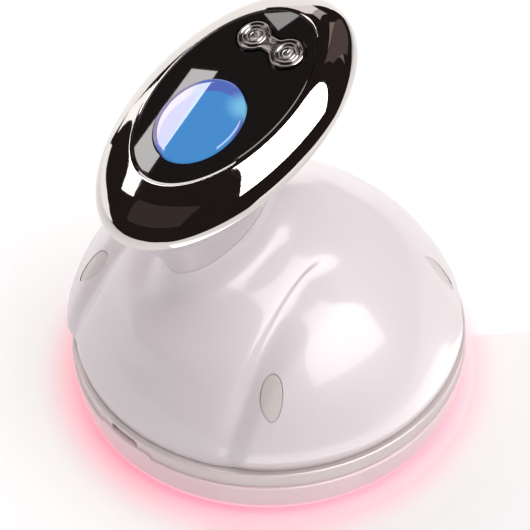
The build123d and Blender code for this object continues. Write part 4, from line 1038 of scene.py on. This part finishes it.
class DEVICE_OT_buttons(bpy.types.Operator):
    """Button frame: outlines of a figure of eight, stacked into a rounded rim. Caps: turned rings. Signs:
    bars along paths"""

    bl_idname = "device.buttons"
    bl_label = "Buttons"

    def execute(self, context):
        s, finishes = context.scene.device_head, context.scene.device_finishes
        proud = s.frame_proud
        rings = eight_rings([
            (0.0, -s.frame_recess), (0.0, proud - 0.0003), (-0.00006, proud - 0.0001), (-0.0002, proud),
            (-0.0004, proud + 0.00003), (-0.0006, proud), (-0.0008, proud - 0.00012),
            (-0.001, proud - 0.00018)])
        ring_frame = new_mesh("button_ring_frame", closed_on_panel(
            rings, -s.frame_recess, proud - 0.00018, 0.0, s.button_offset), sharp=0.7)
        carve(ring_frame, cap_holes(), sharp=0.7)
        smoky = finish("Smoky chrome", finishes.smoky, 0.16, spread=0.06, scale=300, Metallic=1.0)
        place(ring_frame, HOUSING, ["button_frame"], smoky)
        metal = finish("Turned chrome", finishes.cap, 0.20, spread=0.08, scale=300, peel=0.05, Metallic=1.0)
        mark = finish("Icon mark", (0.85, 0.84, 0.83), 0.2, spread=0.05, scale=300, Metallic=0.6)
        for side, name, body in ((-1, "mode", MODE_BODY), (1, "power", POWER_BODY)):
            cap = new_mesh(name + "_cap", self.cap_skin(side), sharp=0.7)
            place(cap, body, [name + "_button_cap"], metal)
        bar = np.stack([np.zeros(8), np.linspace(0.0002, 0.0012, 8)], axis=-1)
        waves = [self.arc(start, start + 75, 14) for start in (20, 140, 260)]
        for side, name, body, paths in ((-1, "mode_icon", MODE_BODY, waves),
                                        (1, "power_icon", POWER_BODY, [self.arc(125, 415, 40), bar])):
            icon = new_mesh(name, joined([self.stroke(path, side) for path in paths]))
            place(icon, body, [], mark)
        return {"FINISHED"}

    def cap_skin(self, side):
        """Rings of a cap from its foot over its rim to its middle: rounded rim, groove, inner ring, shallow
        disc. The table gives each ring's distance in from the rim and below the top, in micrometres"""
        s = bpy.context.scene.device_head
        inset, below = 1e-6 * np.array([
            (0, 300), (60, 100), (200, 0), (500, 0), (700, 100), (800, 220), (1000, 240), (1120, 140),
            (1300, 80), (1600, 120), (2200, 160), (2800, 180)]).T
        radius = s.button_radius - np.insert(inset, 0, 0.0)
        above = np.insert(s.button_proud - below, 0, -s.button_depth)
        across = side * s.button_half_spacing
        rings = ovals(panel_points, radius, radius, above, across, s.button_offset)
        return closed_on_panel(rings, above[0], above[-1], across, s.button_offset)

    def stroke(self, path, side):
        """A low rounded bar along a path on a cap: at each point an oval section across the path"""
        s = bpy.context.scene.device_head
        ahead = np.gradient(path, axis=0)
        ahead /= np.linalg.norm(ahead, axis=1, keepdims=True)
        across = np.stack([-ahead[:, 1], ahead[:, 0]], axis=-1)
        turn = around(10)
        path = path + [side * s.button_half_spacing, s.button_offset]
        flat = path[:, None, :] + s.icon_half * np.cos(turn)[None, :, None] * across[:, None, :]
        foot = s.button_proud - s.icon_sink
        rings = panel_points(flat[:, :, 0], flat[:, :, 1], foot + s.icon_rise * np.sin(turn)[None, :])
        return outward(skin(rings, *(panel_points(*path[k], foot) for k in (0, -1))))

    def arc(self, start, end, count):
        """Part of the ring of a sign, between two angles in degrees"""
        turn = np.radians(np.linspace(start, end, count))
        return bpy.context.scene.device_head.icon_radius * np.stack([np.cos(turn), np.sin(turn)], axis=-1)


# Finish, colour, roughness, its spread, scale of the marks, depth of the ripple, other values, and nodes
INNER_FINISHES = (
    ("Plated steel", (0.60, 0.60, 0.61), 0.28, 0.12, 200, 0.05, {"Metallic": 1.0},
     ("head_screws", "board_screws", "clamp_screws", "shell_screws", "neck_screws", "electrode_nuts",
      "usb_port")),
    ("Polished steel", (0.74, 0.74, 0.75), 0.14, 0.08, 160, 0.03, {"Metallic": 1.0},
     ("treatment_probe", "probe_clamp", "rf_electrodes")),
    ("Board green", (0.02, 0.14, 0.05), 0.35, 0.15, 260, 0.1, {"drift": 0.3},
     ("head_board", "main_board", "led_ring_board")),
    ("Moulded black", (0.03, 0.03, 0.03), 0.5, 0.15, 200, 0.15, {}, ("switch_bodies", "port_tongue")),
    ("Moulded white", (0.75, 0.75, 0.72), 0.5, 0.15, 200, 0.15, {},
     ("battery_bracket", "mode_switch_plunger", "power_switch_plunger")),
    ("Frosted", (0.70, 0.78, 0.90), 0.6, 0.1, 150, 0.1, {}, ("lens_diffuser",)),
    ("Silicone", (0.75, 0.75, 0.75), 0.6, 0.1, 180, 0.2, {}, ("probe_seal",)),
    ("Brass", (0.72, 0.52, 0.22), 0.25, 0.1, 200, 0.05, {"Metallic": 1.0}, ("piezo_disc",)),
    ("Enamelled copper", (0.65, 0.28, 0.12), 0.3, 0.1, 400, 0.4, {"Metallic": 0.8}, ("transformer_coil",)),
    ("Battery film", (0.03, 0.16, 0.32), 0.3, 0.1, 120, 0.1, {}, ("battery_cell",)),
    ("Ferrite", (0.05, 0.05, 0.055), 0.6, 0.2, 300, 0.3, {}, ("transformer_core",)),
    ("Ribbon", (0.50, 0.50, 0.52), 0.4, 0.1, 200, 0.1, {}, ("head_cable",)),
    ("Red lamp", (0.85, 0.05, 0.06), 0.2, 0.05, 200, 0.02,
     {"Emission_Color": (1, 0.1, 0.1, 1), "Emission_Strength": 2.0}, ("red_leds",)),
    ("Blue lamp", (0.1, 0.3, 0.9), 0.2, 0.05, 200, 0.02,
     {"Emission_Color": (0.1, 0.3, 1, 1), "Emission_Strength": 2.0}, ("head_leds",)))


class DEVICE_OT_inner(bpy.types.Operator):
    """Finishes of the carried-over pieces: boards, screws, battery, probe and the rest"""

    bl_idname = "device.inner"
    bl_label = "Inner pieces"

    def execute(self, context):
        for name, base, rough, spread, scale, peel, others, nodes in INNER_FINISHES:
            material = finish(name, base, rough, spread, scale, peel, **others)
            for node in nodes:
                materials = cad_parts[node].data.materials
                materials.clear()
                materials.append(material)
        return {"FINISHED"}


# Outline of the floor. Its front and right edges are near, as the bezel's rim mirrors them
FLOOR_EDGE = (
    (-2.5, -1.72), (-0.189, -0.404), (0.013, -0.289), (0.081, -0.195), (0.104, -0.130), (0.108, -0.082),
    (0.126, -0.055), (0.148, -0.029), (0.229, 0.0), (0.245, 0.051), (0.251, 0.112), (0.205, 0.163),
    (0.162, 0.205), (0.188, 0.381), (0.5, 2.5), (-2.5, 2.5))

# The glare on the floor: its ends in degrees round the axis, its radii, and the lengths of the mirrored rays
# over which it comes up and goes down. Then the colours of the room as a light and in what shines
GLARE_TURN = (-62, 50)
GLARE_RADII = (0.059, 0.175)
GLARE_UP = (0.028, 0.042)
GLARE_DOWN = (0.085, 0.12)
GLARE_STEPS = 42
ROOM_PALE = (0.98, 0.985, 1.0, 1)
ROOM_DARK = (0.018, 0.013, 0.012, 1)

# Glowing sheets: name, the size that gives its brightness in what mirrors it, share of it, the size that
# gives its brightness as a light, tint, and the directions that its corners shine from, of any length
SHEETS = (
    ("key_box", "key", 1.0, "key_soft", WARM_WHITE,
     ((793, 563, 231), (890, -330, 330), (-290, -160, 945), (-140, 90, 985))),
    ("panel_strip", "strip", 1.0, None, WARM_WHITE,
     ((-601, 23, 799), (-583, 34, 812), (-586, -83, 806), (-606, -85, 791))),
    ("side_strip", "side", 1.0, None, WARM_WHITE,
     ((-632, -85, 770), (-590, -90, 802), (-556, -458, 693), (-690, -430, 585))),
    ("left_box", "left", 1.0, None, WARM_WHITE,
     ((-655, 3, 755), (-960, 20, 280), (-975, -60, 200), (-650, -75, 757))),
    ("top_strip", "strip", 0.55, None, WARM_WHITE,
     ((-573, 103, 813), (-556, 117, 823), (-547, 120, 828), (-557, 97, 825))),
    ("back_box", "back", 1.0, None, PALE_PINK,
     ((-607, 132, 783), (-561, 141, 816), (-489, 360, 794), (-450, 620, 640), (-530, 600, 600))),
    ("back_box_dim", "back", 0.45, None, PALE_PINK,
     ((-489, 360, 794), (-400, 420, 810), (-330, 720, 610), (-450, 620, 640))),
    ("overhead", None, 0.0, "overhead", WARM_WHITE,
     ((-600, 500, 620), (500, 600, 620), (600, -50, 800), (-650, -100, 760))),
    ("low_screen", "screen", 1.0, "screen_soft", WARM_WHITE,
     ((-996, 0, -88), (-985, -101, 141), (-955, -259, 146), (-870, -447, 209), (-783, -603, 154),
      (-659, -751, -48), (-640, -763, -88))),
    ("back_screen", "screen", 1.0, "screen_soft", WARM_WHITE,
     ((-237, 967, -88), (-369, 878, 307), (-530, 600, 600), (-607, 132, 783), (-645, 100, 760),
      (-675, 75, 735), (-724, 72, 686), (-771, 69, 633), (-818, 60, 572), (-866, 48, 498), (-896, 30, 443),
      (-962, 18, 274), (-985, 0, 141), (-996, 0, -88))),
    ("front_card", "card", 0.05, None, CARD_BROWN,
     ((-500, -480, 720), (-200, -560, 800), (350, -600, 720), (500, -820, 270), (0, -930, 360),
      (-420, -840, 350))),
    ("brown_card", "card", 0.26, None, CARD_BROWN, ((-236, 640, 732), (45, 982, 185), (-103, 379, 920))),
    ("brown_back_card", "card", 0.10, None, CARD_BROWN,
     ((-180, 960, 215), (45, 982, 185), (330, 915, 235), (280, 560, 780), (-60, 300, 950))),
    ("brown_side_card", "card", 0.22, None, CARD_BROWN, ((249, 795, 553), (437, 849, 296), (193, 545, 816))))


class DEVICE_OT_stage(bpy.types.Operator):
    """Pale floor, soft studio lights and the camera"""

    bl_idname = "device.stage"
    bl_label = "Stage"

    def execute(self, context):
        s = context.scene.device_stage
        self.floor(s)
        self.camera(context, s)
        self.floor_shine(s)
        self.lights(s)
        self.room(context, s)
        return {"FINISHED"}

    def floor(self, s):
        """A flat pale sheet with painted light round the base: a pink glow and shade, multiplied in by a
        smooth step of the distance to the axis
        """
        floor = new_mesh("floor", sheet(np.column_stack([FLOOR_EDGE, np.zeros(len(FLOOR_EDGE))])))
        material = finish("Pale floor", (0.74, 0.74, 0.74), 0.7, spread=0.05, scale=4, peel=0.0, drift=0.01)
        tree = material.node_tree
        distance = add_node(tree, "ShaderNodeVectorMath", operation="LENGTH", Vector=object_coordinates(tree))
        # Painted glow and shade: 1 near the base, 0 far out
        near = eased(tree, distance.outputs["Value"], s.painted_glow_end, s.painted_glow_full)
        principled = tree.nodes["Principled BSDF"]
        pale = principled.inputs["Base Color"].links[0].from_socket
        feed(principled, Base_Color=mixed(tree, near, pale, FLOOR_PAINTED_GLOW, blend="MULTIPLY"))
        floor.data.materials.append(material)

    def camera(self, context, s):
        """The camera, from the direction behind it, its roll and its place"""
        back = Vector(CAMERA_BACK).normalized()
        right = Vector((0, 0, 1)).cross(back).normalized()
        turn = Matrix((right, back.cross(right), back)).transposed()
        turn = turn @ Matrix.Rotation(np.radians(CAMERA_ROLL), 3, "Z")
        camera = bpy.data.objects.new("camera", bpy.data.cameras.new("camera"))
        camera.matrix_world = Matrix.Translation(CAMERA_PLACE) @ turn.to_4x4()
        camera.data.sensor_width = 36
        camera.data.lens = s.focal
        camera.data.shift_x, camera.data.shift_y = CAMERA_SHIFT
        camera.data.clip_start = 0.01
        context.scene.collection.objects.link(camera)
        context.scene.camera = camera

    def lights(self, s):
        """Soft boxes, strips, screens and cards: glowing sheets a metre away. What mirrors them and what they
        light are set apart, as two sheets"""
        aim = np.array([0, 0, 0.09])
        for name, mirrored, share, soft, tint, corners in SHEETS:
            points = aim + np.array(corners) / np.linalg.norm(corners, axis=1, keepdims=True)
            if mirrored:
                self.glowing(name, sheet(points), getattr(s, mirrored) * share, tint).visible_diffuse = False
            if soft:
                self.glowing(name + "_soft", sheet(points), getattr(s, soft), tint).visible_glossy = False

    def glowing(self, name, surface, strength, tint):
        """A sheet that shines and that the camera doesn't see"""
        box = new_mesh(name, surface)
        material, principled = new_material(name)
        feed(principled, Base_Color=(0, 0, 0, 1), Specular_IOR_Level=0.0, Emission_Color=(*tint, 1),
             Emission_Strength=strength)
        box.data.materials.append(material)
        box.visible_camera = False
        return box

    def floor_shine(self, s):
        """A glare of the key light on the floor in front: a flat arc. Its brightness is a smooth step up and
        one down over the length of the ray that meets it, so only mirrors some centimetres away show it"""
        turn = np.radians(np.linspace(*GLARE_TURN, GLARE_STEPS))
        radius = np.array(GLARE_RADII)[:, None]
        points = np.stack([radius * np.cos(turn), radius * np.sin(turn), 0.0004 + 0 * radius * turn], axis=-1)
        one = np.arange(GLARE_STEPS - 1)
        quads = np.stack([one, one + 1, one + 1 + GLARE_STEPS, one + GLARE_STEPS], axis=-1)
        surface = points.reshape(-1, 3), quads, np.zeros((0, 3), int)
        shine = self.glowing("floor_shine", surface, s.shine, WARM_WHITE)
        shine.visible_diffuse = False
        tree = shine.data.materials[0].node_tree
        ray = add_node(tree, "ShaderNodeLightPath").outputs["Ray Length"]
        down = eased(tree, ray, *GLARE_DOWN, s.shine, 1.0)
        feed(tree.nodes["Principled BSDF"], Emission_Strength=eased(tree, ray, *GLARE_UP, 1.0, down))

    def room(self, context, s):
        """A room that is white for the camera, pale as a light, and dark in what shines"""
        world = bpy.data.worlds.new("room")
        context.scene.world = world
        world.use_nodes = True
        tree = world.node_tree
        path = add_node(tree, "ShaderNodeLightPath").outputs
        shown = feed(tree.nodes["Background"], Color=ROOM_PALE, Strength=s.room)
        for rays, tint in (("Is Glossy Ray", ROOM_DARK), ("Is Camera Ray", (1, 1, 1, 1))):
            mix = add_node(tree, "ShaderNodeMixShader", Fac=path[rays])
            tree.links.new(shown.outputs[0], mix.inputs[1])
            tree.links.new(add_node(tree, "ShaderNodeBackground", Color=tint).outputs[0], mix.inputs[2])
            shown = mix
        tree.links.new(shown.outputs[0], tree.nodes["World Output"].inputs["Surface"])
        context.scene.view_settings.view_transform = "Standard"


STEPS = (DEVICE_OT_dome, DEVICE_OT_plugs, DEVICE_OT_band, DEVICE_OT_lower_shell, DEVICE_OT_grip,
         DEVICE_OT_bezel, DEVICE_OT_panel, DEVICE_OT_lens, DEVICE_OT_buttons, DEVICE_OT_inner,
         DEVICE_OT_stage)
GROUPS = {"device_dome": DEVICE_PG_dome, "device_base": DEVICE_PG_base, "device_head": DEVICE_PG_head,
          "device_finishes": DEVICE_PG_finishes, "device_stage": DEVICE_PG_stage}


class DEVICE_PT_panel(bpy.types.Panel):
    """Lists the steps and their sizes"""

    bl_label = "Slimming Device"
    bl_idname = "DEVICE_PT_panel"
    bl_space_type = "VIEW_3D"
    bl_region_type = "UI"
    bl_category = "Device"

    def draw(self, context):
        column = self.layout.column(align=True)
        for step in STEPS:
            column.operator(step.bl_idname)
        for name in GROUPS:
            box = self.layout.box()
            group = getattr(context.scene, name)
            for prop in group.bl_rna.properties:
                if prop.identifier not in ("rna_type", "name"):
                    box.prop(group, prop.identifier)


def register():
    for group in GROUPS.values():
        bpy.utils.register_class(group)
    for name, group in GROUPS.items():
        setattr(bpy.types.Scene, name, bpy.props.PointerProperty(type=group))
    for step in STEPS:
        bpy.utils.register_class(step)
    bpy.utils.register_class(DEVICE_PT_panel)


def unregister():
    bpy.utils.unregister_class(DEVICE_PT_panel)
    for step in reversed(STEPS):
        bpy.utils.unregister_class(step)
    for name in GROUPS:
        delattr(bpy.types.Scene, name)
    for group in reversed(GROUPS.values()):
        bpy.utils.unregister_class(group)


def main():
    """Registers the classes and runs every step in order"""
    register()
    for step in STEPS:
        group, name = step.bl_idname.split(".")
        getattr(getattr(bpy.ops, group), name)()


if __name__ == "__main__":
    main()
